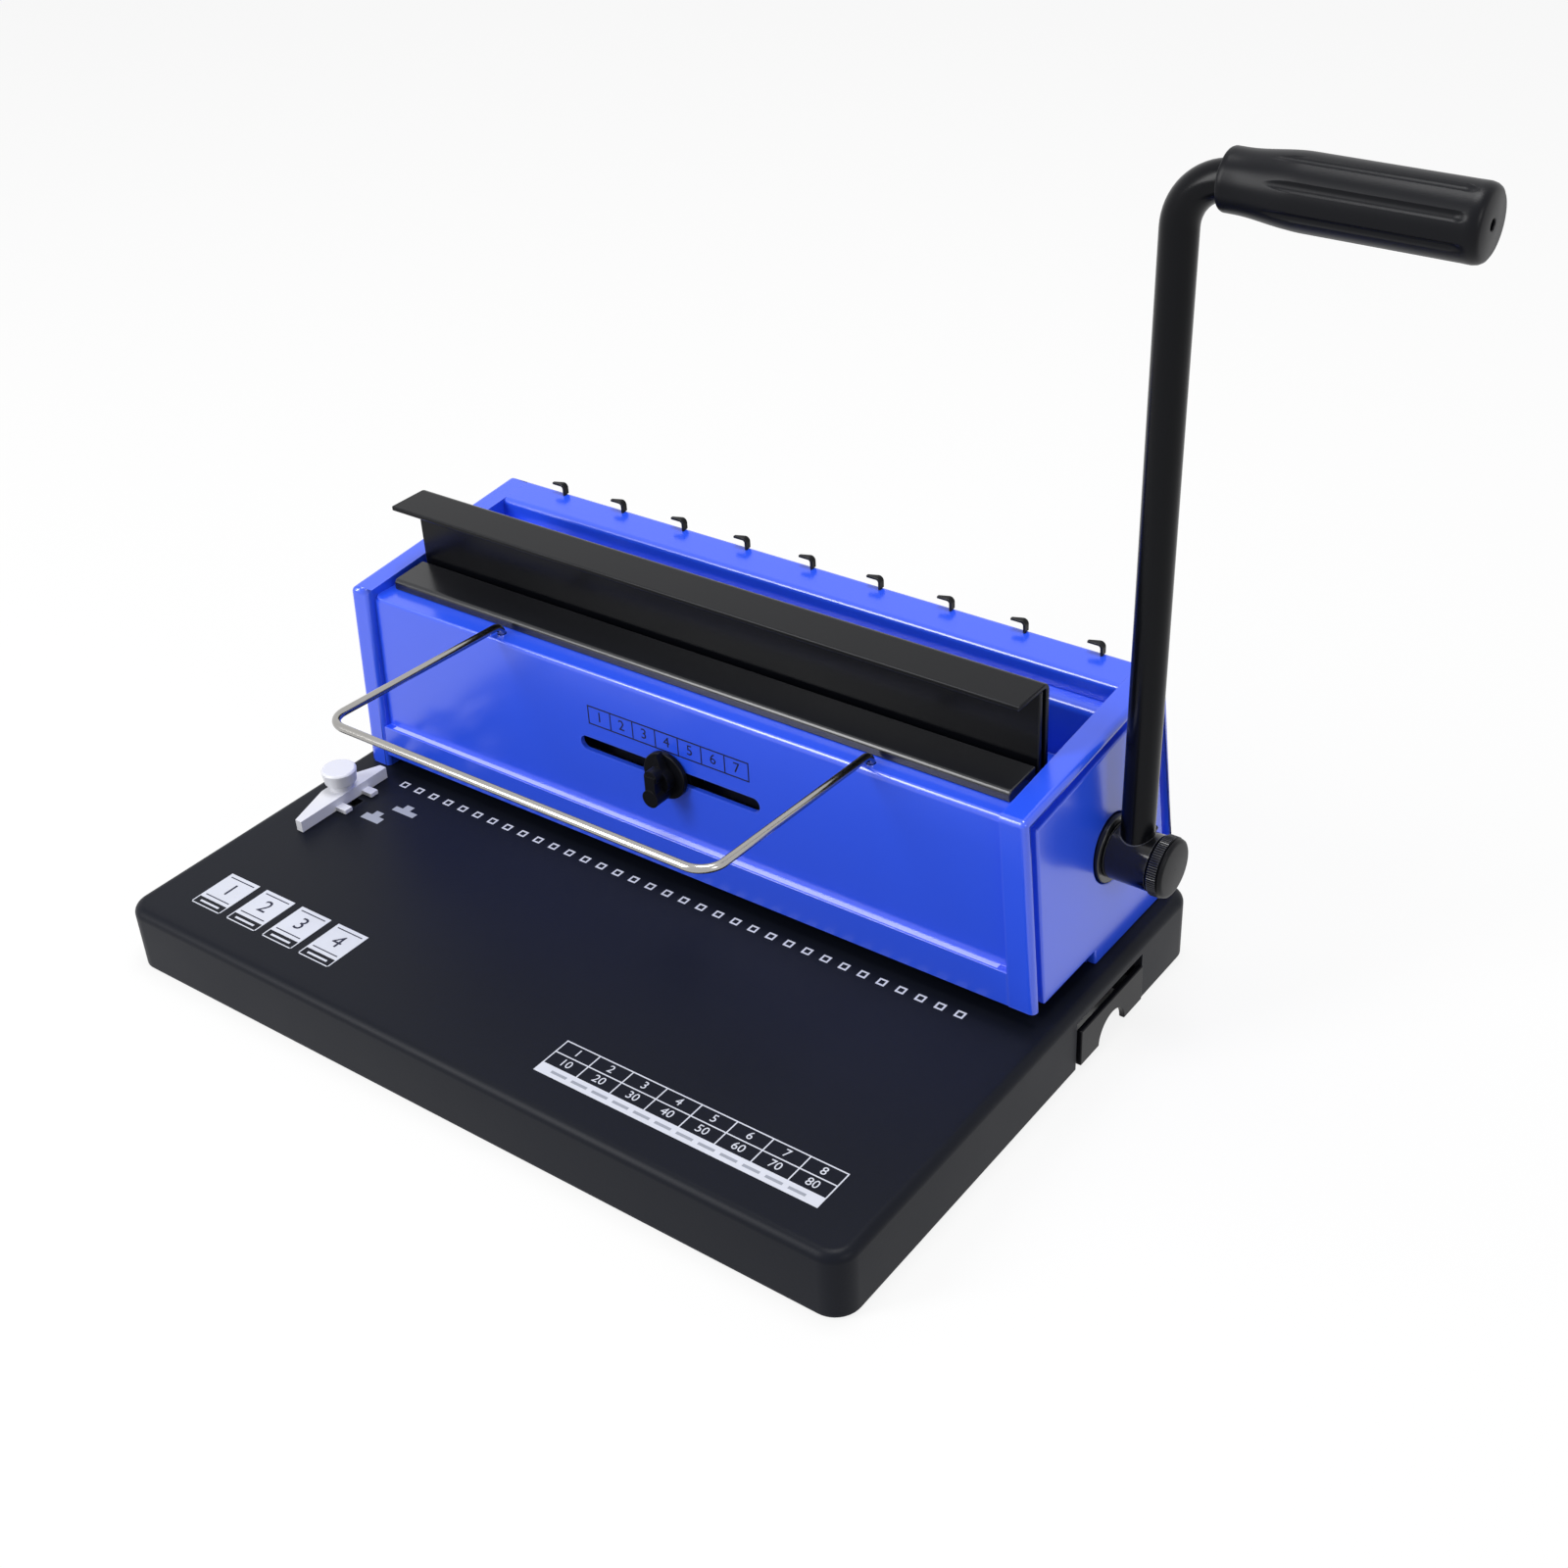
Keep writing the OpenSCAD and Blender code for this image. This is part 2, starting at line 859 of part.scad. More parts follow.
module stripper_plate() {
    color(steel)
        difference() {
            block([-plate_in + seam, front_y + sheet + seam, slot_z],
                [plate_in - seam, die_back, stripper_top]);
            hole_row(hole_side + 2 * hole_gap, slot_z - reach_past, stripper_top + reach_past);
        }
}

module shaft_bushes() {
    color("#b08d4f")
        for (s = [-1, 1])
            translate([s > 0 ? plate_in - 1 : -plate_out - 1, shaft_y, shaft_z])
                difference() {
                    bar_x(0, plate_thick + 2, bush_d);
                    bar_x(-1, plate_thick + 3, shaft_d + 2 * turn_gap);
                }
}

// The flange seats on the pocket's floor and stands through the side cover
module shaft_flange() {
    color(black)
        translate([0, shaft_y, shaft_z])
            difference() {
                bar_x(cover_out - 2 * pocket_depth, flange_out, flange_d);
                bar_x(0, side_reach, shaft_d + 2 * turn_gap);
                translate([0, -shaft_y, -shaft_z])
                    span(pocket_depth - seam);
            }
}

module spring_brackets() {
    color(steel)
        for (s = [-1, 1])
            block([s * spring_x - bracket_wide / 2, web_back + 1.5, trough_z - lug_thick],
                [s * spring_x + bracket_wide / 2, trough_front + lug_deep, trough_z]);
}

// Helix with straight ends that meet the bracket above and the lug below
module return_springs() {
    color(steel)
        for (s = [-1, 1])
            translate([s * spring_x, spring_y, 0])
                spring_tube();
}

spring_r = (spring_d - spring_wire) / 2;
spring_straight = 1.4;
spring_rise = (spring_high - spring_low - 2 * spring_straight) / spring_turns;
spring_steps = spring_turns * spring_rings;

function helix_point(i) = [
    spring_r * cos(360 * i / spring_rings),
    spring_r * sin(360 * i / spring_rings),
    spring_low + spring_straight + spring_rise * i / spring_rings
];
spring_path = concat(
    [[spring_r, 0, spring_low]],
    [for (i = [0:spring_steps]) helix_point(i)],
    [[spring_r, 0, spring_high]]
);
spring_last = len(spring_path) - 1;

function unit(v) = v / norm(v);
function path_tangent(i) = i == 0 || i == spring_last
    ? [0, 0, 1]
    : unit(spring_path[i + 1] - spring_path[i - 1]);
function path_normal(i) = unit([spring_path[i][0], spring_path[i][1], 0]);
function ring(i) = [
    for (k = [0:spring_sides - 1])
        spring_path[i] + spring_wire / 2 * (cos(360 * k / spring_sides) * path_normal(i)
            + sin(360 * k / spring_sides) * cross(path_tangent(i), path_normal(i)))
];

module spring_tube() {
    rings = [for (i = [0:spring_last]) each ring(i)];
    walls = [
        for (i = [0:spring_last - 1], k = [0:spring_sides - 1])
            let (a = i * spring_sides + k, b = i * spring_sides + (k + 1) % spring_sides)
                each [[a, b + spring_sides, b], [a, a + spring_sides, b + spring_sides]]
    ];
    low_cap = [for (k = [1:spring_sides - 2]) [0, k, k + 1]];
    top = spring_last * spring_sides;
    high_cap = [for (k = [1:spring_sides - 2]) [top, top + k + 1, top + k]];
    polyhedron(points = rings, faces = concat(walls, low_cap, high_cap));
}

// Least gap from one curl to the next, measured on the path's points
spring_gap = min([
    for (i = [1:spring_steps + 1 - spring_rings])
        norm(spring_path[i + spring_rings] - spring_path[i])
]) - spring_wire;
echo(spring_gap = spring_gap);

// Sockets under the panel's flange take the rest's pins
module rest_sockets() {
    color(black)
        difference() {
            for (x = [rest_left, rest_right])
                translate([x, rest_hole_y, flange_z - sheet - rest_pin - 1])
                    cylinder(h = rest_pin + 1, d = rest_socket_d);
            rest_frame()
                for (x = [rest_left, rest_right])
                    translate([x, 0, -rest_reach / 2])
                        cylinder(h = rest_reach, d = rest_wire_d + 2 * turn_gap);
        }
}

// Angle rails under the table: the tray's floor runs on their lips
module tray_rails() {
    color(steel)
        for (s = [-1, 1])
            translate([0, tray_y, 0])
                rail(s, tray_depth / 2 + slide_gap);
}

module rail(s, y) {
    x0 = tray_left;
    x1 = tray_box_end;
    block([x0, s > 0 ? y : -y - rail_wall, rail_z], [x1, s > 0 ? y + rail_wall : -y, under_table_z]);
    block([x0, s > 0 ? y - 4 : -y - seam, rail_z], [x1, s > 0 ? y + seam : -y + 4, rail_z + rail_lip]);
}

// Screws that hold the inner plates' feet down on the table
module frame_screws() {
    color(steel)
        for (sx = [-1, 1], y = [throat_back + foot_screw_front, shaft_y + plate_tail - foot_screw_back])
            translate([sx * (plate_out + 2.6), y, table_z + foot_thick])
                cylinder(h = 1.6, d = foot_screw_d);
}

// Screws from under the table into the end frames
module housing_screws() {
    color(steel)
        housing_screw_places()
            rotate([180, 0, 0])
                screw(screw_d, 2 * screw_d, base_wall + screw_grip, screw_head);
}

module housing_screw_places() {
    for (s = [-1, 1], y = [throat_back + screw_inset, back_y - screw_inset])
        translate([s * (housing_width / 2 - pocket_depth - (end_strip - pocket_depth) / 2), y, under_table_z])
            children();
}

module housing_screw_holes() {
    housing_screw_places()
        cylinder(h = base_wall + screw_grip + 0.3, d = screw_d + 2 * turn_gap);
}

// Rail behind the panel that the size slider runs on
module stop_rail() {
    color(steel)
        block([-plate_in + seam, panel_y + sheet + slider_deep + 0.8, set_slot_z - stop_rail_tall / 2],
            [plate_in - seam, panel_y + sheet + slider_deep + 2.8, set_slot_z + stop_rail_tall / 2]);
}

// Handle and drive

module drive_shaft() {
    color(steel)
        translate([0, shaft_y, shaft_z])
            difference() {
                bar_x(-plate_out - 2, hub_out - 1, shaft_d);
                bar_x(hub_out - 16, hub_out, stud_d + 2 * turn_gap);
            }
}

// Involute flank of a tooth, in polar form
base_r = pitch_r * cos(pressure_angle);
function involute_angle(r) = r <= base_r ? 0 : tan(acos(base_r / r)) * 180 / PI - acos(base_r / r);
half_tooth = 90 / pinion_teeth - tooth_backlash / 2 / pitch_r * 180 / PI;
function flank_angle(r) = half_tooth + involute_angle(pitch_r) - involute_angle(r);
tooth_radii = [
    pitch_r - pinion_root,
    base_r,
    (base_r + pitch_r) / 2,
    pitch_r,
    pitch_r + pinion_tip / 2,
    pitch_r + pinion_tip
];
tooth_steps = len(tooth_radii) - 1;

function polar(r, a) = [r * cos(a), r * sin(a)];
function pinion_outline() = [
    for (i = [0:pinion_teeth - 1])
        let (a = 180 + 360 * i / pinion_teeth)
            each concat(
                [for (k = [0:tooth_steps]) polar(tooth_radii[k], a - flank_angle(tooth_radii[k]))],
                [for (k = [0:tooth_steps])
                    polar(tooth_radii[tooth_steps - k], a + flank_angle(tooth_radii[tooth_steps - k]))]
            )
];

// At rest one tooth points at the rack
module pinion(x) {
    color(steel)
        translate([0, shaft_y, shaft_z])
            difference() {
                along_x(x - pinion_width / 2, x + pinion_width / 2)
                    polygon(pinion_outline());
                bar_x(x - pinion_width, x + pinion_width, shaft_d + 2 * fit_gap);
            }
}

module left_pinion() {
    pinion(-pinion_x);
}

module right_pinion() {
    pinion(pinion_x);
}

module handle_hub() {
    color(black)
        translate([0, shaft_y, shaft_z])
            difference() {
                bar_x(hub_in, hub_out, hub_d);
                bar_x(0, hub_out - 1, shaft_d + 2 * fit_gap);
                bar_x(0, hub_out + reach_past, stud_d + 2 * slide_gap);
                translate([rod_x, 0, 0])
                    rotate([0, rod_lean, 0])
                        cylinder(h = hub_d, d = rod_d + 2 * fit_gap);
                hub_screw_form(hub_screw_d + 2 * fit_gap);
            }
}

// The handle's own frame: it stands in the hub and leans outwards
module handle_frame() {
    translate([rod_x, shaft_y, shaft_z])
        rotate([0, rod_lean, 0])
            children();
}

// The rod stands in the hub and bends over into the grip
module crank_rod() {
    rod_low = shaft_d / 2 + 0.6;
    color(black)
        handle_frame() {
            translate([0, 0, rod_low])
                cylinder(h = handle_reach - rod_bend - rod_low, d = rod_d);
            translate([rod_bend, 0, handle_reach - rod_bend])
                rotate([90, 0, 0])
                    rotate([0, 0, 90])
                        rotate_extrude(angle = 90)
                            translate([rod_bend, 0])
                                circle(d = rod_d);
            translate([0, 0, handle_reach])
                bar_x(rod_bend, grip_in + grip_length - grip_end_wall - slide_gap, rod_d);
        }
}

// Grip: a neck, a long swell and a round end, with flutes; its mouth clears the end of the rod's bend
module handle_grip() {
    flute_start = 11;
    flute_stop = 5;
    color(black)
        handle_frame()
            translate([grip_in, 0, handle_reach])
                difference() {
                    rotate([0, 90, 0])
                        rotate_extrude()
                            grip_profile();
                    bar_x(-reach_past, grip_mouth + slide_gap, rod_d + 4 * slide_gap);
                    bar_x(-reach_past, grip_length - grip_end_wall, rod_d + 2 * fit_gap);
                    bar_x(grip_length - grip_end_wall - 1, grip_length + reach_past, 3.4);
                    for (i = [0:flute_count - 1])
                        rotate([360 * (i + 0.5) / flute_count, 0, 0])
                            translate([0, 0, (grip_d + flute_d) / 2 - flute_deep])
                                bar_x(flute_start, grip_length - flute_stop, flute_d);
                }
}

module grip_profile() {
    polygon([
        [0, 0],
        [grip_neck_d / 2 - 0.8, 0],
        [grip_neck_d / 2, 1],
        [grip_neck_d / 2 + 0.2, 6],
        [grip_d / 2 - 1, 16],
        [grip_d / 2, 26],
        [grip_d / 2 - 0.1, grip_length - 2.2],
        [grip_d / 2 - 0.6, grip_length - 0.8],
        [grip_d / 2 - 1.8, grip_length],
        [0, grip_length]
    ]);
}

// Clamping screw in the back of the hub
module hub_screw() {
    color(black)
        translate([0, shaft_y, shaft_z])
            hub_screw_form(hub_screw_d);
}

module hub_screw_form(d) {
    hub_screw_turn = 60;
    hub_screw_proud = 2.7;
    translate([rod_x, 0, 0])
        rotate([-hub_screw_turn, 0, 0])
            translate([0, 0, shaft_d / 2 + slide_gap])
                cylinder(h = (hub_d - shaft_d) / 2 - slide_gap + hub_screw_proud, d = d);
}

module clamp_knob() {
    chamfer = 1;
    color(black)
        translate([clamp_in, shaft_y, shaft_z])
            difference() {
                rotate([0, 90, 0])
                    rotate_extrude()
                        polygon([
                            [0, 0],
                            [clamp_d / 2 - chamfer, 0],
                            [clamp_d / 2, chamfer],
                            [clamp_d / 2, clamp_thick - 2 * chamfer],
                            [clamp_d / 2 - chamfer, clamp_thick - chamfer],
                            [clamp_d / 2 - 2 * chamfer, clamp_thick],
                            [0, clamp_thick]
                        ]);
                bar_x(-reach_past, clamp_thick / 2, stud_d + 2 * fit_gap);
            }
}

module clamp_stud() {
    color(steel)
        translate([0, shaft_y, shaft_z])
            bar_x(hub_out - 14, clamp_in + clamp_thick / 2 - fit_gap, stud_d);
}

// Press: closing bar and punch in one sliding group

module closing_bar() {
    fold = 3.5;
    color(black)
        along_x(-jaw_length / 2, jaw_length / 2)
            difference() {
                union() {
                    translate([web_front, web_low])
                        square([closing_sheet, closing_top - fold - web_low]);
                    translate([web_back - closing_depth, closing_top - closing_sheet])
                        square([closing_depth - fold, closing_sheet]);
                    translate([web_back - fold, closing_top - fold])
                        intersection() {
                            circle(fold);
                            square(fold);
                        }
                }
                translate([web_back - fold, closing_top - fold])
                    circle(fold - closing_sheet);
            }
}

module closing_face() {
    color(black)
        block([-jaw_length / 2, face_front, bar_top], [jaw_length / 2, face_back, closing_top - closing_sheet]);
}

module punch_bar() {
    color(steel)
        difference() {
            block([-plate_in + 1.5, pin_y - punch_bar_thick / 2, bar_bottom],
                [plate_in - 1.5, pin_y + punch_bar_thick / 2, bar_top]);
            hole_row(hole_side + 2 * seam, bar_bottom - reach_past, bar_bottom + pin_seat);
        }
}

module punch_pins() {
    color(chrome)
        hole_row(hole_side, pin_tip_z, bar_bottom + pin_seat);
}

// Rack teeth face the pinion: at rest a gap lies level with the shaft
module rack(x) {
    half_root = tooth_pitch / 4 - tooth_backlash / 4 + rack_root * tan(pressure_angle);
    half_tip = tooth_pitch / 4 - tooth_backlash / 4 - rack_tip * tan(pressure_angle);
    first = -1;
    last = ceil(stroke / tooth_pitch) + 1;
    color(steel)
        along_x(x - rack_width / 2, x + rack_width / 2)
            translate([pitch_y, shaft_z]) {
                translate([-rack_root - rack_base, (first - 0.5) * tooth_pitch])
                    square([rack_base + seam, (last - first + 1) * tooth_pitch]);
                for (i = [first:last - 1])
                    translate([0, (i + 0.5) * tooth_pitch])
                        polygon([
                            [-rack_root, -half_root],
                            [rack_tip, -half_tip],
                            [rack_tip, half_tip],
                            [-rack_root, half_root]
                        ]);
            }
}

module left_rack() {
    rack(-pinion_x);
}

module right_rack() {
    rack(pinion_x);
}

module spring_lugs() {
    color(steel)
        for (s = [-1, 1])
            block([s * spring_x - lug_wide / 2, web_back, lug_z],
                [s * spring_x + lug_wide / 2, web_back + lug_deep, lug_z + lug_thick]);
}

// Screws that hold the closing bar to the punch bar
module press_screws() {
    color(steel)
        for (s = [-1, 1], share = [1 / 3, 1])
            translate([s * share * press_screw_x, web_back, bar_bottom + punch_bar_tall / 2])
                rotate([-90, 0, 0])
                    cylinder(h = press_screw_head, d = press_screw_d);
}

// Size setting

module size_slider() {
    color(black)
        translate([set_slot_x, panel_y + sheet + slide_gap, set_slot_z])
            difference() {
                block([-9, 0, -7], [9, slider_deep, 7]);
                bar_y(-reach_past, slider_deep - 2, spindle_d + 2 * turn_gap);
            }
}

module wing_spindle() {
    color(steel)
        translate([set_slot_x, 0, set_slot_z])
            bar_y(panel_y - slide_gap - wing_disc_thick - 3, panel_y + sheet + slider_deep - 2, spindle_d);
}

module wing_disc() {
    color(black)
        translate([set_slot_x, 0, set_slot_z])
            difference() {
                bar_y(panel_y - slide_gap - wing_disc_thick, panel_y - slide_gap, wing_disc_d);
                bar_y(0, panel_y + sheet, spindle_d + 2 * fit_gap);
            }
}

// Two wings on a round hub, with a pointer on top
module wing_knob() {
    hub_back = panel_y - slide_gap - wing_disc_thick;
    fin_deep = 8.5;
    fin_thick = 5;
    color(black)
        translate([set_slot_x, hub_back, set_slot_z])
            difference() {
                union() {
                    bar_y(-fin_deep / 2, 0, wing_disc_d * 0.55);
                    block([-fin_thick / 2, -fin_deep, -wing_span * 0.28], [fin_thick / 2, 0, wing_span * 0.2]);
                    translate([0, 0, -wing_span * 0.28])
                        bar_y(-fin_deep - 0.5, 0, fin_thick * 1.5);
                    translate([0, 0, wing_span * 0.16])
                        bar_y(-fin_deep + 0.6, 0, fin_thick * 1.25);
                    along_y(-fin_deep * 0.4, 0)
                        polygon([
                            [-fin_thick * 0.55, wing_span * 0.18],
                            [fin_thick * 0.55, wing_span * 0.18],
                            [0, wing_span * 0.56]
                        ]);
                }
                bar_y(-3 - fit_gap, 1, spindle_d + 2 * fit_gap);
            }
}

// Edge guide

module edge_guide() {
    lug = 5.5;
    lug_wide = 4;
    lug_tall = 1.8;
    end_wide = 3.4;
    waist = 7;
    outer_x = -guide_face_x - guide_width;
    front_end = guide_back_y - guide_length;
    color(ivory)
        difference() {
            translate([0, 0, table_z + slide_gap]) {
                linear_extrude(guide_bar_tall)
                    polygon([
                        [-guide_face_x, guide_back_y],
                        [-guide_face_x - end_wide, guide_back_y],
                        [outer_x, guide_bolt_y + waist],
                        [outer_x, guide_bolt_y - waist],
                        [-guide_face_x - end_wide, front_end],
                        [-guide_face_x, front_end]
                    ]);
                translate([guide_x, guide_bolt_y, 0])
                    cylinder(h = guide_tall, d = guide_width - 0.4);
                for (y = [13, 28])
                    block([-guide_face_x - end_wide / 2, guide_back_y - y - lug_wide / 2, 0],
                        [-guide_face_x + lug, guide_back_y - y + lug_wide / 2, lug_tall]);
            }
            translate([guide_x, guide_bolt_y, 0])
                cylinder(h = 2 * table_z, d = guide_bolt_d + 2 * turn_gap);
        }
}

module guide_nut() {
    half = guide_nut_side / 2;
    color(steel)
        translate([guide_x, guide_bolt_y, under_table_z - slide_gap - guide_nut_thick])
            difference() {
                block([-half, -half, 0], [half, half, guide_nut_thick]);
                translate([0, 0, -reach_past])
                    cylinder(h = guide_nut_thick + 2 * reach_past, d = guide_bolt_d + 2 * turn_gap);
            }
}

guide_knob_z = table_z + slide_gap + guide_tall + slide_gap;

module guide_knob() {
    color(ivory)
        translate([guide_x, guide_bolt_y, guide_knob_z])
            difference() {
                rotate_extrude()
                    polygon([
                        [0, 0],
                        [guide_knob_d / 2 - 1.6, 0],
                        [guide_knob_d / 2 - 0.8, 0.8],
                        [guide_knob_d / 2, guide_knob_tall - 0.8],
                        [guide_knob_d / 2 - 0.8, guide_knob_tall],
                        [0, guide_knob_tall]
                    ]);
                translate([0, 0, -reach_past])
                    cylinder(h = reach_past + guide_knob_tall / 2, d = guide_bolt_d + 2 * fit_gap);
            }
}

module guide_bolt() {
    low = under_table_z - slide_gap - guide_nut_thick - 2;
    color(steel)
        translate([guide_x, guide_bolt_y, low])
            cylinder(h = guide_knob_z + guide_knob_tall / 2 - fit_gap - low, d = guide_bolt_d);
}

// The rest's own frame: its pins stand square to legs that rise towards the operator
module rest_frame() {
    translate([0, rest_hole_y, flange_z])
        rotate([-rest_tilt, 0, 0])
            children();
}

// Sheet rest: pins in the panel, two legs and one cross rod
module sheet_rest() {
    leg_end = rest_bend - rest_reach;
    color(chrome)
        rest_frame() {
            for (x = [rest_left, rest_right])
                translate([x, 0, 0])
                    rest_leg(leg_end);
            translate([0, 0, rest_leg_rise]) {
                rest_corner(rest_left + rest_bend, leg_end, 180);
                rest_corner(rest_right - rest_bend, leg_end, 270);
                translate([0, leg_end - rest_bend, 0])
                    bar_x(rest_left + rest_bend, rest_right - rest_bend, rest_wire_d);
            }
        }
}

module rest_leg(leg_end) {
    translate([0, 0, -sheet - rest_pin])
        cylinder(h = sheet + rest_pin + rest_leg_rise - rest_fold, d = rest_wire_d);
    translate([0, -rest_fold, rest_leg_rise - rest_fold])
        rotate([90, 0, 90])
            rotate_extrude(angle = 90)
                translate([rest_fold, 0])
                    circle(d = rest_wire_d);
    translate([0, 0, rest_leg_rise])
        bar_y(leg_end, -rest_fold, rest_wire_d);
}

module rest_corner(x, y, turn) {
    translate([x, y, 0])
        rotate([0, 0, turn])
            rotate_extrude(angle = 90)
                translate([rest_bend, 0])
                    circle(d = rest_wire_d);
}

// Chip tray: an open box behind an end plate with a finger notch
module chip_tray() {
    half = tray_depth / 2;
    color(black)
        translate([0, tray_y, tray_floor_z])
            difference() {
                union() {
                    difference() {
                        block([tray_left, -half, 0], [tray_box_end, half, tray_wall_tall]);
                        block([tray_left + tray_wall, -half + tray_wall, tray_wall],
                            [tray_box_end - tray_wall, half - tray_wall, tray_wall_tall + reach_past]);
                    }
                    for (s = [-1, 1])
                        block([tray_box_end - seam, s * (half - tray_wall / 2) - tray_wall / 2, 0],
                            [tray_end_x - seam, s * (half - tray_wall / 2) + tray_wall / 2, tray_wall_tall]);
                    block([tray_end_x - tray_end_thick, -half, -foot_lift], [tray_end_x, half, tray_end_tall]);
                }
                translate([0, 0, -foot_lift])
                    bar_x(tray_box_end + reach_past, tray_end_x + reach_past, 2 * notch_r);
            }
}

base_shell();
rubber_feet();
front_panel();
left_end_frame();
right_end_frame();
left_side_cover();
right_side_cover();
rear_cover();
wire_trough();
wire_hooks();
fixed_jaw();
left_side_plate();
right_side_plate();
die_plate();
paper_stop();
stripper_plate();
shaft_bushes();
shaft_flange();
spring_brackets();
return_springs();
rest_sockets();
tray_rails();
frame_screws();
housing_screws();
stop_rail();
drive_shaft();
left_pinion();
right_pinion();
handle_hub();
crank_rod();
handle_grip();
hub_screw();
clamp_knob();
clamp_stud();
closing_bar();
closing_face();
punch_bar();
punch_pins();
left_rack();
right_rack();
spring_lugs();
press_screws();
size_slider();
wing_knob();
wing_disc();
wing_spindle();
edge_guide();
guide_nut();
guide_knob();
guide_bolt();
sheet_rest();
chip_tray();
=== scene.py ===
"""Looks of a desk-top punch and binder for double-loop wire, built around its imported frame.

Names that end in _mm are millimetres, other lengths are metres and angles are degrees. X runs
along the row of holes, Y from the operator to the back, Z up. The origin is the middle of the
base, on the desk.
"""

import json
import logging
import math
from dataclasses import dataclass
from enum import Enum
from typing import Any, Callable, Sequence

import bmesh
import bpy
from mathutils import Matrix, Vector

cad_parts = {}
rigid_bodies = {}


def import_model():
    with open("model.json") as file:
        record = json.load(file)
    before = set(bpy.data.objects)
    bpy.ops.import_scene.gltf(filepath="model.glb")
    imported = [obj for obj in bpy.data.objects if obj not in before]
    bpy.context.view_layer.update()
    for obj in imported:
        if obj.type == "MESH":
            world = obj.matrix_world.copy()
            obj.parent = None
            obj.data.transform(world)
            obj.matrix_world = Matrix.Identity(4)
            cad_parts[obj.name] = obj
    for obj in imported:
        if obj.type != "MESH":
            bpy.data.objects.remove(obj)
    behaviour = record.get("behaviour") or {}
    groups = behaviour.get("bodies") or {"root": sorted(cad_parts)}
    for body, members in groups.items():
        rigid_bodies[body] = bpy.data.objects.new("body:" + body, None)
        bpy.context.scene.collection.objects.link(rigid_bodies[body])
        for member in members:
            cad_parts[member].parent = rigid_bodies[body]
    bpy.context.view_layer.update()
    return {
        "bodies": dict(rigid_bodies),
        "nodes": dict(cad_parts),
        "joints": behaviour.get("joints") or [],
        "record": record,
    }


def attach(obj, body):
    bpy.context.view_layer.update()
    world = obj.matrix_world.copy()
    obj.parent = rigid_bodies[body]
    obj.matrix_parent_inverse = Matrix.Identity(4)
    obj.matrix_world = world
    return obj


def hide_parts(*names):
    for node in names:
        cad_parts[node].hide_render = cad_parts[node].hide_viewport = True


Pair = tuple[float, float]
Point = tuple[float, float, float]
Box = tuple[Point, Point]
Frame = dict[str, Any]
Edge = bmesh.types.BMEdge
Material = bpy.types.Material
Mesh = bpy.types.Mesh
Node = bpy.types.Node
Piece = bpy.types.Object
Socket = bpy.types.NodeSocket
Tree = bpy.types.NodeTree

LOG = logging.getLogger("binder")
MM = 0.001
MM_PER_METRE = 1000
WHITE = (1.0, 1.0, 1.0, 1.0)
# Height of the base's table, and depth of the front panel's face
TABLE_MM = 28.3
PANEL_MM = 15.3
# Ink stands this far over its face, with its underside a little below the face
INK_MM = 0.06
SUNK_MM = 0.02
# Numbers stand this far to either side of their middle, with curves of this many steps
TYPE_HALF_MM = 0.02
TYPE_STEPS = 3
# Points of a number and of a CAD copy that lie closer than this are one
TYPE_MERGE = 1e-7
CAD_MERGE = 2e-6
# Faces of a CAD copy that meet at less than this angle are one
FLAT_ANGLE = 0.3
# Edges over these angles stay sharp on built pieces, and on turned or rounded ones
BUILT_ANGLE = 35.0
ROUND_ANGLE = 40.0
# Weight of large faces in the shading of a rounded copy
EVEN_WEIGHT = 100
# Sides of a single ridge of knurling
RIDGE_SIDES = 6


def linear(code: str, gain: float = 1.0) -> tuple[float, float, float, float]:
    """Turns an sRGB hex colour into linear values.

    Args:
        code: colour such as "#2b50e0".
        gain: factor on the linear values, kept at 1 or below per channel.
    Returns:
        Red, green, blue and alpha.
    """
    parts = [int(code[i : i + 2], 16) / 255 for i in (1, 3, 5)]
    light = [c / 12.92 if c <= 0.04045 else ((c + 0.055) / 1.055) ** 2.4 for c in parts]
    red, green, blue = (min(1.0, c * gain) for c in light)
    return red, green, blue, 1.0


def add_node(tree: Tree, kind: str, inputs: dict[Any, Any] | None = None, **settings: Any) -> Node:
    """Adds one node with its settings, values and links.

    Args:
        tree: node tree that takes the node.
        kind: Blender's name of the node's type.
        inputs: value, socket or node, whose first output is meant, for each named or numbered
            input.
        settings: properties of the node itself.
    Returns:
        The new node.
    """
    made = tree.nodes.new(kind)
    for name, value in settings.items():
        setattr(made, name, value)
    for key, value in (inputs or {}).items():
        source = value.outputs[0] if isinstance(value, Node) else value
        if isinstance(source, Socket):
            tree.links.new(source, made.inputs[key])
        else:
            made.inputs[key].default_value = source
    return made


def empty_tree(owner: Material | bpy.types.World) -> Tree:
    """Turns on the nodes of a material or world and empties them.

    Args:
        owner: material or world.
    Returns:
        Its node tree.
    """
    owner.use_nodes = True
    owner.node_tree.nodes.clear()
    return owner.node_tree


class Facing(Enum):
    """Face that a print lies on: the table looks up, the panel looks to the operator."""

    TABLE = "up"
    PANEL = "front"


class Repeat(Enum):
    """What repeats: square outlines in a row, bars in a row, ridges round a knob."""

    OUTLINES = "outline_row"
    BARS = "bar_row"
    RIDGES = "ridge_ring"


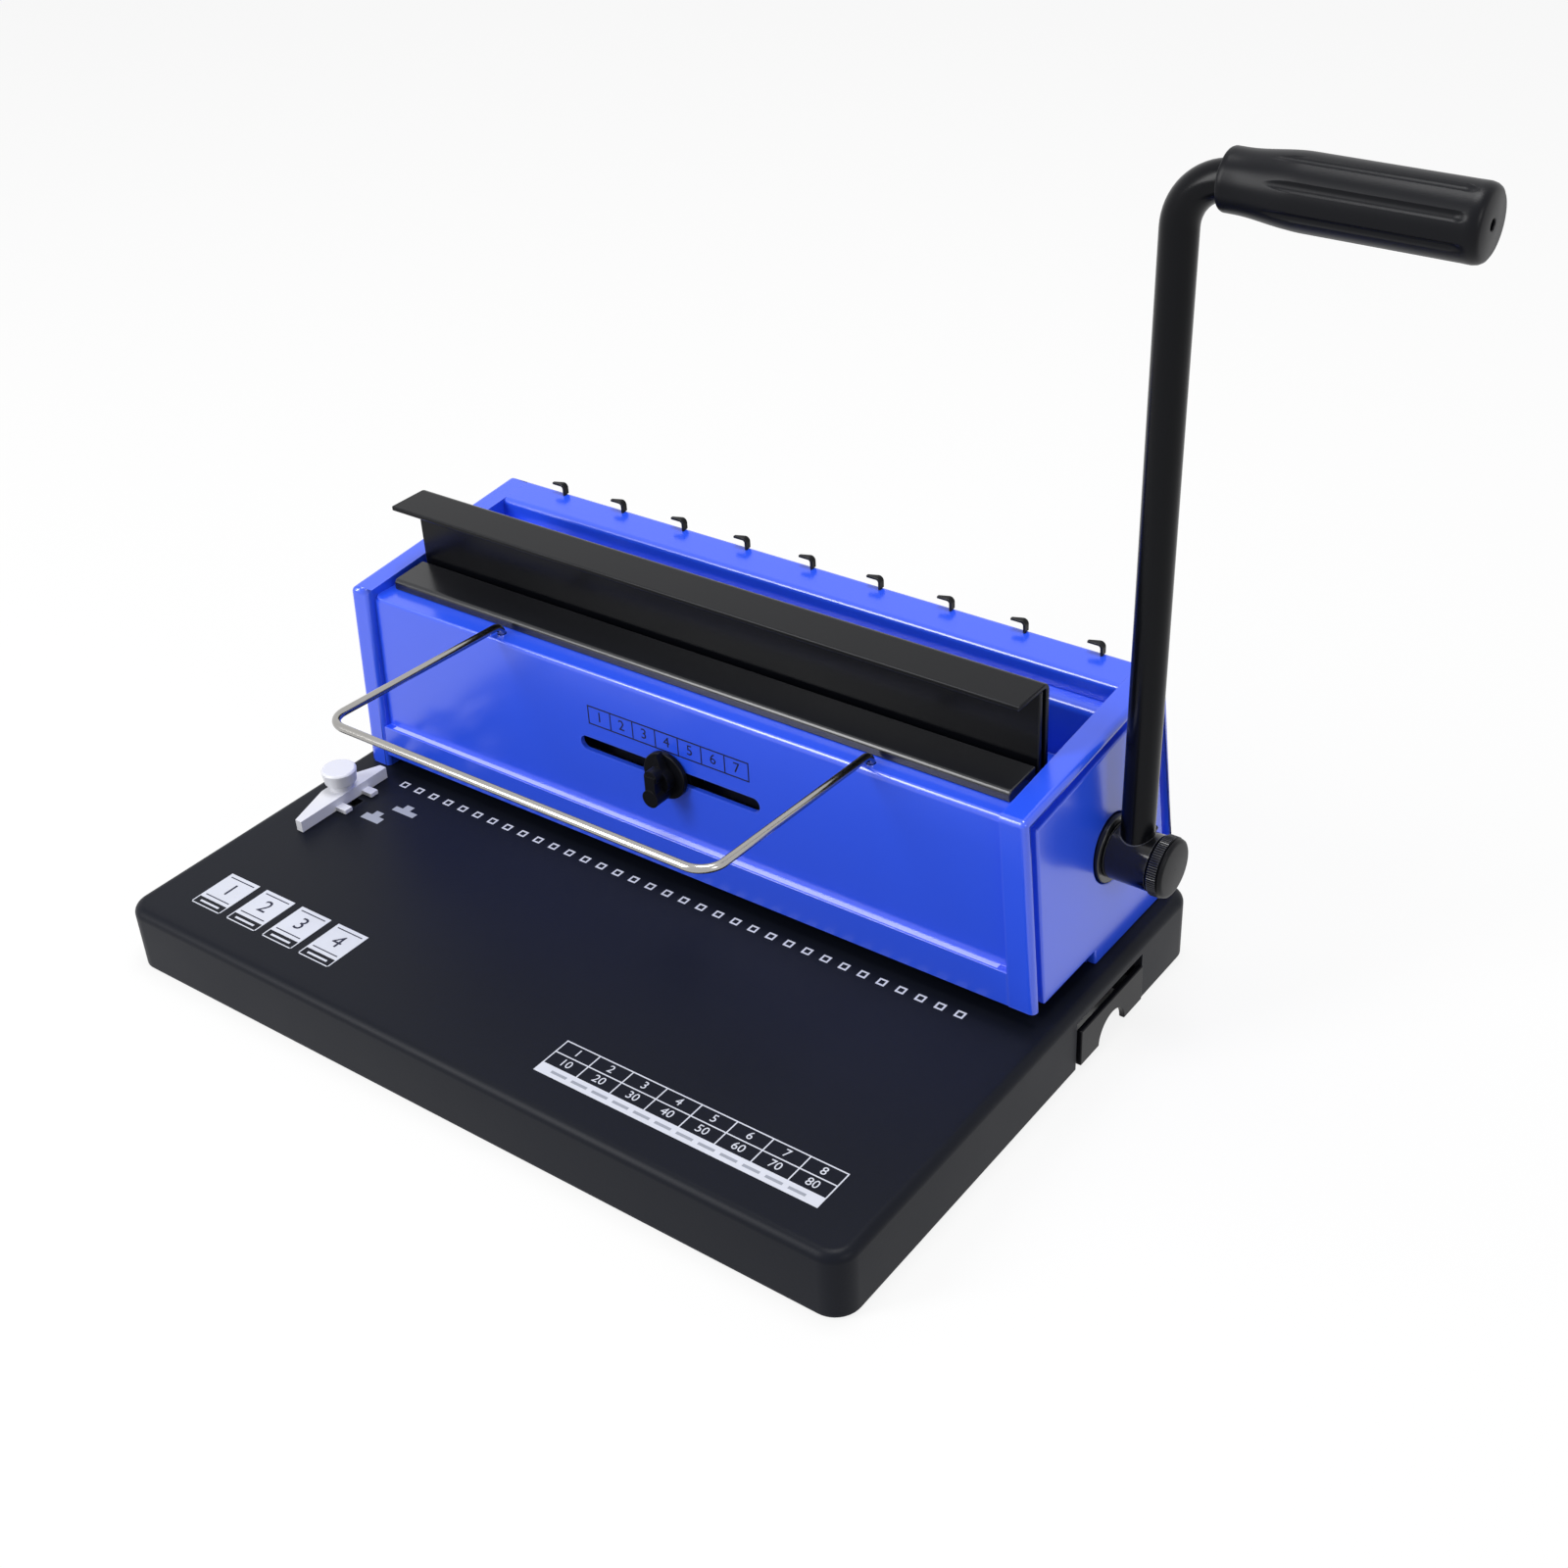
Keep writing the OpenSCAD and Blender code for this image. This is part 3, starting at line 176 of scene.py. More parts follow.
@dataclass(frozen=True)
class Finish:
    """What a surface is made of, with its finest pattern drawn coarse enough to show."""

    name: str
    colour: str
    roughness: float
    grain_mm: float
    depth_mm: float

    def material(self) -> Material:
        """Makes the material at the first call.

        Returns:
            The material.
        """
        made = bpy.data.materials.get(self.name)
        if made is None:
            made = bpy.data.materials.new(self.name)
            tree = empty_tree(made)
            place = add_node(tree, "ShaderNodeTexCoord").outputs["Object"]
            add_node(tree, "ShaderNodeOutputMaterial", {"Surface": self.surface(tree, place)})
        return made

    def surface(self, tree: Tree, place: Socket) -> Node:
        """Adds the nodes of this kind of finish.

        Args:
            tree: the material's node tree.
            place: Object coordinates.
        Returns:
            The shader.
        """
        raise NotImplementedError


@dataclass(frozen=True)
class Coating(Finish):
    """Paint, ink, rubber or moulded plastic: a dielectric with a fine skin and slow clouds."""

    cloud_mm: float = 60.0
    shade: float = 0.06
    rough_shift: float = 0.05
    specular: float = 0.5
    coat: float = 0.0
    coat_roughness: float = 0.12
    # Paler outer edges, partly wear and partly painted highlight: share, width and colour
    edge: float = 0.0
    edge_mm: float = 0.8
    edge_colour: str = "#c9ccd6"
    edge_samples: int = 6
    cloud_detail: float = 4.0
    skin_detail: float = 2.0

    def surface(self, tree: Tree, place: Socket) -> Node:
        """Adds clouded colour and roughness, pale edges of wear and painted highlight, and a fine
        skin.

        Args:
            tree: the material's node tree.
            place: Object coordinates.
        Returns:
            The shader.
        """
        cloud, skin = (
            add_node(
                tree,
                "ShaderNodeTexNoise",
                {"Vector": place, "Scale": MM_PER_METRE / size_mm, "Detail": detail},
            )
            for size_mm, detail in (
                (self.cloud_mm, self.cloud_detail),
                (self.grain_mm, self.skin_detail),
            )
        )
        dark, light = (linear(self.colour, 1 + shift) for shift in (-self.shade, self.shade))
        colour = add_node(
            tree, "ShaderNodeMix", {0: cloud, 6: dark, 7: light}, data_type="RGBA"
        ).outputs[2]
        if self.edge > 0:
            colour = self.worn_edges(tree, colour, cloud)
        rough = add_node(
            tree,
            "ShaderNodeMapRange",
            {
                "Value": cloud,
                "To Min": self.roughness - self.rough_shift,
                "To Max": self.roughness + self.rough_shift,
            },
        )
        bump = add_node(
            tree,
            "ShaderNodeBump",
            {"Height": skin, "Distance": self.depth_mm * MM, "Strength": 1.0},
        )
        return add_node(
            tree,
            "ShaderNodeBsdfPrincipled",
            {
                "Base Color": colour,
                "Roughness": rough,
                "Normal": bump,
                "Specular IOR Level": self.specular,
                "Coat Weight": self.coat,
                "Coat Roughness": self.coat_roughness,
            },
        )

    def worn_edges(self, tree: Tree, colour: Socket, cloud: Node) -> Socket:
        """Adds a paler tone along outer edges, in patches: partly wear, partly painted highlight.

        Args:
            tree: the material's node tree.
            colour: colour of the unworn surface.
            cloud: pattern of the patches.
        Returns:
            The colour with its pale edges of wear and painted highlight.
        """
        near = add_node(
            tree,
            "ShaderNodeAmbientOcclusion",
            {"Distance": self.edge_mm * MM},
            samples=self.edge_samples,
            inside=True,
            only_local=True,
        ).outputs["AO"]
        wear_and_highlight = add_node(tree, "ShaderNodeMath", {0: 1.0, 1: near}, operation="SUBTRACT")
        patchy = add_node(tree, "ShaderNodeMath", {0: wear_and_highlight, 1: cloud}, operation="MULTIPLY")
        share = add_node(
            tree, "ShaderNodeMath", {0: patchy, 1: self.edge}, operation="MULTIPLY", use_clamp=True
        )
        return add_node(
            tree,
            "ShaderNodeMix",
            {0: share, 6: colour, 7: linear(self.edge_colour)},
            data_type="RGBA",
        ).outputs[2]


@dataclass(frozen=True)
class BareMetal(Finish):
    """Plated, ground or turned metal with lines along X."""

    shade: float = 0.12
    stretch: Point = (0.02, 1.0, 1.0)
    line_detail: float = 3.0
    smoothest: float = 0.8
    roughest: float = 1.25

    def surface(self, tree: Tree, place: Socket) -> Node:
        """Adds lines to colour, roughness and height.

        Args:
            tree: the material's node tree.
            place: Object coordinates.
        Returns:
            The shader.
        """
        drawn = add_node(tree, "ShaderNodeMapping", {"Vector": place, "Scale": self.stretch})
        lines = add_node(
            tree,
            "ShaderNodeTexNoise",
            {"Vector": drawn, "Scale": MM_PER_METRE / self.grain_mm, "Detail": self.line_detail},
        )
        dark, light = (linear(self.colour, 1 + shift) for shift in (-self.shade, self.shade))
        colour = add_node(
            tree, "ShaderNodeMix", {0: lines, 6: dark, 7: light}, data_type="RGBA"
        ).outputs[2]
        rough = add_node(
            tree,
            "ShaderNodeMapRange",
            {
                "Value": lines,
                "To Min": self.roughness * self.smoothest,
                "To Max": self.roughness * self.roughest,
            },
        )
        bump = add_node(
            tree,
            "ShaderNodeBump",
            {"Height": lines, "Distance": self.depth_mm * MM, "Strength": 1.0},
        )
        return add_node(
            tree,
            "ShaderNodeBsdfPrincipled",
            {"Base Color": colour, "Roughness": rough, "Normal": bump, "Metallic": 1.0},
        )


# Stove enamel on sheet steel: glossy, with a slow orange peel in its reflections
BLUE_ENAMEL = Coating(
    "blue_stove_enamel", "#2651e6", roughness=0.22, grain_mm=2.6, depth_mm=0.003, cloud_mm=90,
    shade=0.03, rough_shift=0.02, specular=0.85, coat=0.2, edge=0.10, edge_mm=1.0,
)
# Textured powder coat on the base: satin, with a fine grit
SLATE_POWDER = Coating(
    "slate_powder_coat", "#0c0f18", roughness=0.42, grain_mm=0.9, depth_mm=0.02, cloud_mm=45,
    shade=0.10, rough_shift=0.06, specular=0.12, edge=0.10, edge_mm=1.2,
)
# Black enamel on the closing bar, rod and hooks: half gloss with faint pale edges, partly wear and
# partly painted highlight
BLACK_ENAMEL = Coating(
    "black_enamel", "#07080c", roughness=0.24, grain_mm=1.4, depth_mm=0.006, cloud_mm=30,
    shade=0.14, specular=0.13, edge=0.35, edge_mm=0.5,
)
# Black enamel on the hub, the shaft's flange and the knurling: full gloss
GLOSS_BLACK = Coating(
    "gloss_black_enamel", "#08090d", roughness=0.15, grain_mm=1.4, depth_mm=0.003, cloud_mm=30,
    shade=0.10, rough_shift=0.03, specular=0.45, edge=0.35, edge_mm=0.5,
)
# Moulded black plastic of grip, knobs and tray: an even spark-eroded skin
BLACK_ABS = Coating(
    "black_moulded_abs", "#090a0f", roughness=0.36, grain_mm=0.7, depth_mm=0.012, cloud_mm=25,
    shade=0.10, specular=0.15,
)
# Moulded white plastic of the edge guide: a soft, even sheen
IVORY_ABS = Coating(
    "ivory_moulded_abs", "#cfd0d6", roughness=0.36, grain_mm=0.8, depth_mm=0.01, cloud_mm=20,
    shade=0.03,
)
# Rubber of the feet: dull, with a coarse skin
BLACK_RUBBER = Coating(
    "black_rubber", "#141414", roughness=0.8, grain_mm=1.2, depth_mm=0.05, cloud_mm=12,
    shade=0.10, specular=0.3,
)
# Screen ink on the table and on the panel: thin and matt
WHITE_INK = Coating(
    "white_screen_ink", "#c6c9d2", roughness=0.55, grain_mm=0.5, depth_mm=0.004, cloud_mm=8,
    rough_shift=0.04, specular=0.3,
)
GREY_INK = Coating(
    "grey_screen_ink", "#8f939d", roughness=0.55, grain_mm=0.5, depth_mm=0.004, cloud_mm=8,
    shade=0.08, rough_shift=0.04, specular=0.3,
)
DARK_INK = Coating(
    "dark_screen_ink", "#0a0f2c", roughness=0.5, grain_mm=0.5, depth_mm=0.004, cloud_mm=8,
    shade=0.08, rough_shift=0.04, specular=0.3,
)
# Painted highlight on the ledge's top face: the enamel's blue with much white, half gloss
LEDGE_HIGHLIGHT_PAINT = Coating(
    "pale_line_enamel", "#c0c9ff", roughness=0.3, grain_mm=2.6, depth_mm=0.004, cloud_mm=30,
    shade=0.03, rough_shift=0.04,
)
# Blackened steel of the fixed jaw: an oxide skin with a soft grey sheen, and bright edges that are
# mostly painted highlight, partly wear
BLACK_STEEL = Coating(
    "blackened_steel", "#17181c", roughness=0.22, grain_mm=1.2, depth_mm=0.003, cloud_mm=30,
    shade=0.10, rough_shift=0.04, edge=0.8, edge_mm=0.5,
)
# Chromed wire: a mirror with faint draw marks
CHROME = BareMetal(
    "chromed_wire", "#a9a7a4", roughness=0.16, grain_mm=5.0, depth_mm=0.0002, shade=0.03
)
# Ground steel of the punch: a grey gleam with lines along the machine's length
GROUND_STEEL = BareMetal("ground_steel", "#8f9297", roughness=0.32, grain_mm=0.5, depth_mm=0.006)
# Turned bronze of the shaft bushes: warm, with fine lines
TURNED_BRONZE = BareMetal("turned_bronze", "#a07a3c", roughness=0.35, grain_mm=0.4, depth_mm=0.006)


def ride_on(piece: Piece, body: str, finish: Finish) -> None:
    """Gives a finished piece its material and body, and reports it.

    Args:
        piece: object at the origin with its place in its mesh.
        body: body that carries it.
        finish: finish it shows.
    """
    piece.data.materials.clear()
    piece.data.materials.append(finish.material())
    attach(piece, body)
    LOG.info("%s rides on %s in %s", piece.name, body, finish.name)


def put(name: str, shape: Mesh | bpy.types.Curve) -> Piece:
    """Names a shape and links it into the scene at the origin.

    Args:
        name: name of the shape and of its object.
        shape: mesh or text curve.
    Returns:
        The object.
    """
    shape.name = name
    made = bpy.data.objects.new(name, shape)
    bpy.context.scene.collection.objects.link(made)
    return made


def put_print(name: str, mesh: Mesh, ink: Coating) -> None:
    """Puts a print on the frame."""
    ride_on(put(name, mesh), "frame", ink)


def shade_edges(mesh: Mesh, angle: float) -> None:
    """Shades a mesh smooth up to an angle and sharp beyond it.

    Args:
        mesh: mesh to shade.
        angle: edges over this angle stay sharp.
    """
    for face in mesh.polygons:
        face.use_smooth = True
    mesh.set_sharp_from_angle(angle=math.radians(angle))


def mesh_of(work: bmesh.types.BMesh, angle: float = BUILT_ANGLE) -> Mesh:
    """Turns edited geometry into a mesh with outward faces.

    Args:
        work: geometry, freed here.
        angle: edges over this angle stay sharp.
    Returns:
        The mesh.
    """
    bmesh.ops.recalc_face_normals(work, faces=work.faces)
    mesh = bpy.data.meshes.new("shape")
    work.to_mesh(mesh)
    work.free()
    shade_edges(mesh, angle)
    return mesh


def slabs(boxes: Sequence[Box]) -> Mesh:
    """Closed boxes between pairs of corners in millimetres, as one mesh.

    Args:
        boxes: low and high corner of each box.
    Returns:
        The mesh.
    """
    work = bmesh.new()
    for low, high in boxes:
        a, b = Vector(low) * MM, Vector(high) * MM
        scale = Matrix.Diagonal((*(b - a), 1.0))
        bmesh.ops.create_cube(work, size=1.0, matrix=Matrix.Translation((a + b) / 2) @ scale)
    return mesh_of(work)


def turned(
    profile: Sequence[Pair],
    start: Point,
    sides: int,
    reach: Callable[[float, float], float] | None = None,
) -> Mesh:
    """Closed turned form about an axis along X.

    Args:
        profile: closed ring of distance along the axis and radius, in millimetres, none on the
            axis.
        start: place of the profile's zero, in millimetres.
        sides: steps round the axis.
        reach: largest radius at a distance and an angle, for grooves.
    Returns:
        The mesh.
    """
    work = bmesh.new()
    rings = []
    for step in range(sides):
        turn = 360 * step / sides
        across, up = math.sin(math.radians(turn)), math.cos(math.radians(turn))
        ring = []
        for along, radius in profile:
            r = min(radius, reach(along, turn)) if reach else radius
            place = (start[0] + along, start[1] + r * across, start[2] + r * up)
            ring.append(work.verts.new(Vector(place) * MM))
        rings.append(ring)
    count = len(profile)
    for step in range(sides):
        one, two = rings[step], rings[(step + 1) % sides]
        for k in range(count):
            after = (k + 1) % count
            work.faces.new((one[k], one[after], two[after], two[k]))
    return mesh_of(work, ROUND_ANGLE)


def numerals(labels: Sequence[tuple[str, Point]], tall_mm: float, facing: Facing) -> Mesh:
    """Plain numbers as thin closed shapes on a face.

    Args:
        labels: each number with its middle in millimetres.
        tall_mm: size of the type.
        facing: face that the numbers lie on.
    Returns:
        The mesh.
    """
    upright = facing is Facing.PANEL
    turn = Matrix.Rotation(math.pi / 2, 4, "X") if upright else Matrix.Identity(4)
    work = bmesh.new()
    for body, middle in labels:
        curve = bpy.data.curves.new("type", "FONT")
        curve.body, curve.size, curve.extrude = body, tall_mm * MM, TYPE_HALF_MM * MM
        curve.align_x, curve.align_y = "CENTER", "CENTER"
        curve.resolution_u = TYPE_STEPS
        text = put("type", curve)
        text.matrix_world = Matrix.Translation(Vector(middle) * MM) @ turn
        bpy.context.view_layer.update()
        shape = text.evaluated_get(bpy.context.evaluated_depsgraph_get())
        mesh = bpy.data.meshes.new_from_object(shape)
        mesh.transform(text.matrix_world)
        work.from_mesh(mesh)
        bpy.data.objects.remove(text)
        bpy.data.curves.remove(curve)
        bpy.data.meshes.remove(mesh)
    bmesh.ops.remove_doubles(work, verts=work.verts, dist=TYPE_MERGE)
    return mesh_of(work)


class Repeats:
    """Geometry Nodes trees for what repeats."""

    def __init__(self) -> None:
        """Builds the trees and keeps each with the identifiers of its inputs."""
        self.trees: dict[Repeat, tuple[Tree, dict[str, str]]] = {}
        self.outline_row()
        self.bar_row()
        self.ridge_ring()

    def open_tree(self, kind: Repeat, **inputs: str) -> tuple[Tree, Node]:
        """Starts a tree with its named inputs and one for its material.

        Args:
            kind: what the tree repeats.
            inputs: type of each named input.
        Returns:
            The tree and its input node.
        """
        tree = bpy.data.node_groups.new(kind.value, "GeometryNodeTree")
        add_socket = tree.interface.new_socket
        add_socket(name="Geometry", in_out="OUTPUT", socket_type="NodeSocketGeometry")
        marks = {
            key: add_socket(name=key, in_out="INPUT", socket_type="NodeSocket" + sort).identifier
            for key, sort in {**inputs, "Material": "Material"}.items()
        }
        self.trees[kind] = (tree, marks)
        return tree, add_node(tree, "NodeGroupInput")

    def close_tree(self, tree: Tree, shapes: Node, source: Node) -> None:
        """Ends a tree in real geometry with its material.

        Args:
            tree: tree to end.
            shapes: what it repeats.
            source: its input node.
        """
        real = add_node(tree, "GeometryNodeRealizeInstances", {"Geometry": shapes})
        dressed = add_node(
            tree,
            "GeometryNodeSetMaterial",
            {"Geometry": real, "Material": source.outputs["Material"]},
        )
        add_node(tree, "NodeGroupOutput", {"Geometry": dressed})

    def outline_row(self) -> None:
        """Builds the tree of square outlines in a row."""
        tree, source = self.open_tree(
            Repeat.OUTLINES,
            Count="Int",
            Start="Vector",
            Step="Vector",
            Side="Float",
            Line="Float",
            Thick="Float",
        )
        out = source.outputs
        row = add_node(
            tree,
            "GeometryNodeMeshLine",
            {"Count": out["Count"], "Start Location": out["Start"], "Offset": out["Step"]},
        )
        square, stroke = (
            add_node(
                tree,
                "GeometryNodeCurvePrimitiveQuadrilateral",
                {"Width": out[wide], "Height": out[tall]},
            )
            for wide, tall in (("Side", "Side"), ("Line", "Thick"))
        )
        outline = add_node(
            tree, "GeometryNodeCurveToMesh", {"Curve": square, "Profile Curve": stroke}
        )
        marks = add_node(tree, "GeometryNodeInstanceOnPoints", {"Points": row, "Instance": outline})
        self.close_tree(tree, marks, source)

    def bar_row(self) -> None:
        """Builds the tree of bars in a row."""
        tree, source = self.open_tree(
            Repeat.BARS, Count="Int", Start="Vector", Step="Vector", Size="Vector"
        )
        out = source.outputs
        row = add_node(
            tree,
            "GeometryNodeMeshLine",
            {"Count": out["Count"], "Start Location": out["Start"], "Offset": out["Step"]},
        )
        bar = add_node(tree, "GeometryNodeMeshCube", {"Size": out["Size"]})
        bars = add_node(tree, "GeometryNodeInstanceOnPoints", {"Points": row, "Instance": bar})
        self.close_tree(tree, bars, source)

    def ridge_ring(self) -> None:
        """Builds the tree of ridges round a knob, each a unit prism brought to its size."""
        tree, source = self.open_tree(
            Repeat.RIDGES,
            Count="Int",
            Radius="Float",
            Size="Vector",
            Middle="Vector",
            Turn="Rotation",
        )
        out = source.outputs
        ring = add_node(
            tree, "GeometryNodeMeshCircle", {"Vertices": out["Count"], "Radius": out["Radius"]}
        )
        index = add_node(tree, "GeometryNodeInputIndex")
        step = add_node(tree, "ShaderNodeMath", {0: math.tau, 1: out["Count"]}, operation="DIVIDE")
        angle = add_node(tree, "ShaderNodeMath", {0: index, 1: step}, operation="MULTIPLY")
        spin = add_node(tree, "ShaderNodeCombineXYZ", {"Z": angle})
        ridge = add_node(
            tree,
            "GeometryNodeMeshCylinder",
            {"Vertices": RIDGE_SIDES, "Radius": 0.5, "Depth": 1.0},
        )
        sized = add_node(tree, "GeometryNodeTransform", {"Geometry": ridge, "Scale": out["Size"]})
        ridges = add_node(
            tree,
            "GeometryNodeInstanceOnPoints",
            {"Points": ring, "Instance": sized, "Rotation": spin},
        )
        placed = add_node(
            tree,
            "GeometryNodeTransform",
            {"Geometry": ridges, "Translation": out["Middle"], "Rotation": out["Turn"]},
        )
        self.close_tree(tree, placed, source)

    def mesh(self, kind: Repeat, finish: Finish, **values: Any) -> Mesh:
        """Runs a tree once and keeps its result as a plain mesh.

        Args:
            kind: what repeats.
            finish: finish of the repeats.
            values: value of each input, in metres.
        Returns:
            The mesh.
        """
        tree, marks = self.trees[kind]
        blank = bpy.data.meshes.new("blank")
        holder = put("blank", blank)
        modifier = holder.modifiers.new(kind.value, "NODES")
        modifier.node_group = tree
        for key, value in {**values, "Material": finish.material()}.items():
            modifier[marks[key]] = value
        bpy.context.view_layer.update()
        shape = holder.evaluated_get(bpy.context.evaluated_depsgraph_get())
        mesh = bpy.data.meshes.new_from_object(shape)
        bpy.data.objects.remove(holder)
        bpy.data.meshes.remove(blank)
        work = bmesh.new()
        work.from_mesh(mesh)
        bpy.data.meshes.remove(mesh)
        return mesh_of(work)


@dataclass
class Rounded:
    """A CAD node shown as a merged copy with rounded edges.

    Where radius is given, it returns an edge's own radius in millimetres.
    """

    node: str
    body: str
    slot: str
    finish: Finish
    width_mm: float = 0.0
    segments: int = 3
    angle: float = ROUND_ANGLE
    radius: Callable[[Edge], float] | None = None
    clamp: bool = True

    def build(self, frame: Frame) -> None:
        """Makes the copy, rounds it and lets it stand for the node.
        """
        work = bmesh.new()
        work.from_mesh(frame["nodes"][self.node].data)
        bmesh.ops.remove_doubles(work, verts=work.verts, dist=CAD_MERGE)
        flat = math.radians(FLAT_ANGLE)
        bmesh.ops.dissolve_limit(work, angle_limit=flat, verts=work.verts, edges=work.edges)
        if self.width_mm > 0:
            self.weigh(work)
        mesh = bpy.data.meshes.new("shape")
        work.to_mesh(mesh)
        work.free()
        shade_edges(mesh, self.angle)
        piece = put(self.node + "_shown", mesh)
        if self.width_mm > 0:
            bevel = piece.modifiers.new("rounding", "BEVEL")
            bevel.width, bevel.segments = self.width_mm * MM, self.segments
            bevel.limit_method, bevel.use_clamp_overlap = "WEIGHT", self.clamp
            even = piece.modifiers.new("even_faces", "WEIGHTED_NORMAL")
            even.keep_sharp, even.weight = True, EVEN_WEIGHT
        ride_on(piece, self.body, self.finish)
        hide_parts(self.node)

    def weigh(self, work: bmesh.types.BMesh) -> None:
        """Marks each sharp edge with its share of the widest radius.

        Args:
            work: geometry of the copy.
        """
        share = work.edges.layers.float.new("bevel_weight_edge")
        for edge in work.edges:
            if not edge.is_manifold or edge.calc_face_angle(0.0) < math.radians(self.angle):
                continue
            edge[share] = min(1.0, self.radius(edge) / self.width_mm) if self.radius else 1.0


@dataclass
class Assembly:
    """Sub-assembly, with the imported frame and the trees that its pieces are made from."""

    frame: Frame
    repeats: Repeats

    def build(self) -> None:
        """Builds and dresses the sub-assembly's pieces."""
        raise NotImplementedError

    def show(self, *node: Any, **rounding: Any) -> None:
        """Shows a CAD node as a rounded copy."""
        Rounded(*node, **rounding).build(self.frame)


@dataclass
class Housing(Assembly):
    """Painted sheet housing: its shown copies have the folds' radii.

    rim_mm and pocket_mm are depth and height: where the rim begins, and the middle of the end
    frames' pockets. An edge is a long one from long_mm on.
    """

    half_mm: float = 166.5
    strip_mm: float = 10.5
    table_mm: float = TABLE_MM
    lean: float = 3.6
    panel_mm: float = PANEL_MM
    ledge_mm: float = 49.0
    flange_mm: float = 111.8
    rim_mm: Pair = (83.25, 116.8)
    pocket_mm: Pair = (65.0, 70.0)
    long_mm: float = 200.0
    near_mm: float = 0.1
    side_near_mm: float = 0.2
    fold_mm: float = 2.2
    corner_mm: float = 2.2
    fold_steps: int = 6
    edge_mm: float = 0.35
    cover_mm: float = 2.0
    cover_steps: int = 5
    hook_mm: float = 0.25
    hook_steps: int = 2
    # The last two place the pale strip of painted highlight on the ledge's top face: half its
    # length, and its front and back edges.
    line_end_mm: float = 150.2
    line_mm: Pair = (12.9, 15.0)

    def build(self) -> None:
        """Builds the housing's pieces with rounded folds, the hooks and the painted highlight on
        the ledge.
        """
        enamel = ("frame", "housing_paint", BLUE_ENAMEL)
        for node in ("front_panel", "rear_cover", "wire_trough"):
            self.show(
                node, *enamel, self.fold_mm, self.fold_steps, radius=self.sheet_radius, clamp=False
            )
        for side in ("left", "right"):
            self.show(
                side + "_end_frame", *enamel, self.corner_mm, self.fold_steps,
                radius=self.frame_radius, clamp=False,
            )
            self.show(side + "_side_cover", *enamel, self.cover_mm, self.cover_steps)
        self.show("wire_hooks", "frame", "black_paint", BLACK_ENAMEL, self.hook_mm, self.hook_steps)
        self.ledge_line()

    def side_at(self, z: float) -> float:
        """Returns how far out the leaning side stands at a height."""
        return self.half_mm - math.tan(math.radians(self.lean)) * (z - self.table_mm)

    def sheet_radius(self, edge: Edge) -> float:
        """Tells a sheet's long folds from its long cut edges.

        Args:
            edge: edge of a sheet.
        Returns:
            Its radius in millimetres, none where it is short.
        """
        a, b = (v.co / MM for v in edge.verts)
        if abs(a.x - b.x) < self.long_mm:
            return 0.0
        off_panel, off_flange = abs(a.y - self.panel_mm), abs(a.z - self.flange_mm)
        panel_fold = off_panel < self.near_mm and off_flange < self.near_mm
        rim_fold = a.y > self.rim_mm[0] and a.z > self.rim_mm[1]
        return self.fold_mm if panel_fold or rim_fold else self.edge_mm

    def frame_radius(self, edge: Edge) -> float:
        """Picks an end frame's outer corners and cross folds, and leaves its pocket sharp.

        Args:
            edge: edge of an end frame.
        Returns:
            Its radius in millimetres.
        """
        a, b = (v.co / MM for v in edge.verts)
        if not edge.is_convex or max(a.z, b.z) < self.ledge_mm:
            return 0.0
        if abs(a.x - b.x) > self.strip_mm / 2:
            return self.corner_mm
        if any(abs(abs(v.x) - self.side_at(v.z)) > self.side_near_mm for v in (a, b)):
            return 0.0
        middle = (a + b) / 2
        away = middle - Vector((middle.x, *self.pocket_mm))
        normals = (face.normal for face in edge.link_faces)
        rim = min(normals, key=lambda normal: abs(normal.x))
        return self.corner_mm if rim.dot(away) > 0 else 0.0

    def ledge_line(self) -> None:
        """Painted highlight: a pale strip on the ledge's top face."""
        near, far = self.line_mm
        low = (-self.line_end_mm, near, self.ledge_mm - SUNK_MM)
        high = (self.line_end_mm, far, self.ledge_mm + INK_MM)
        put_print("ledge_line", slabs([(low, high)]), LEDGE_HIGHLIGHT_PAINT)


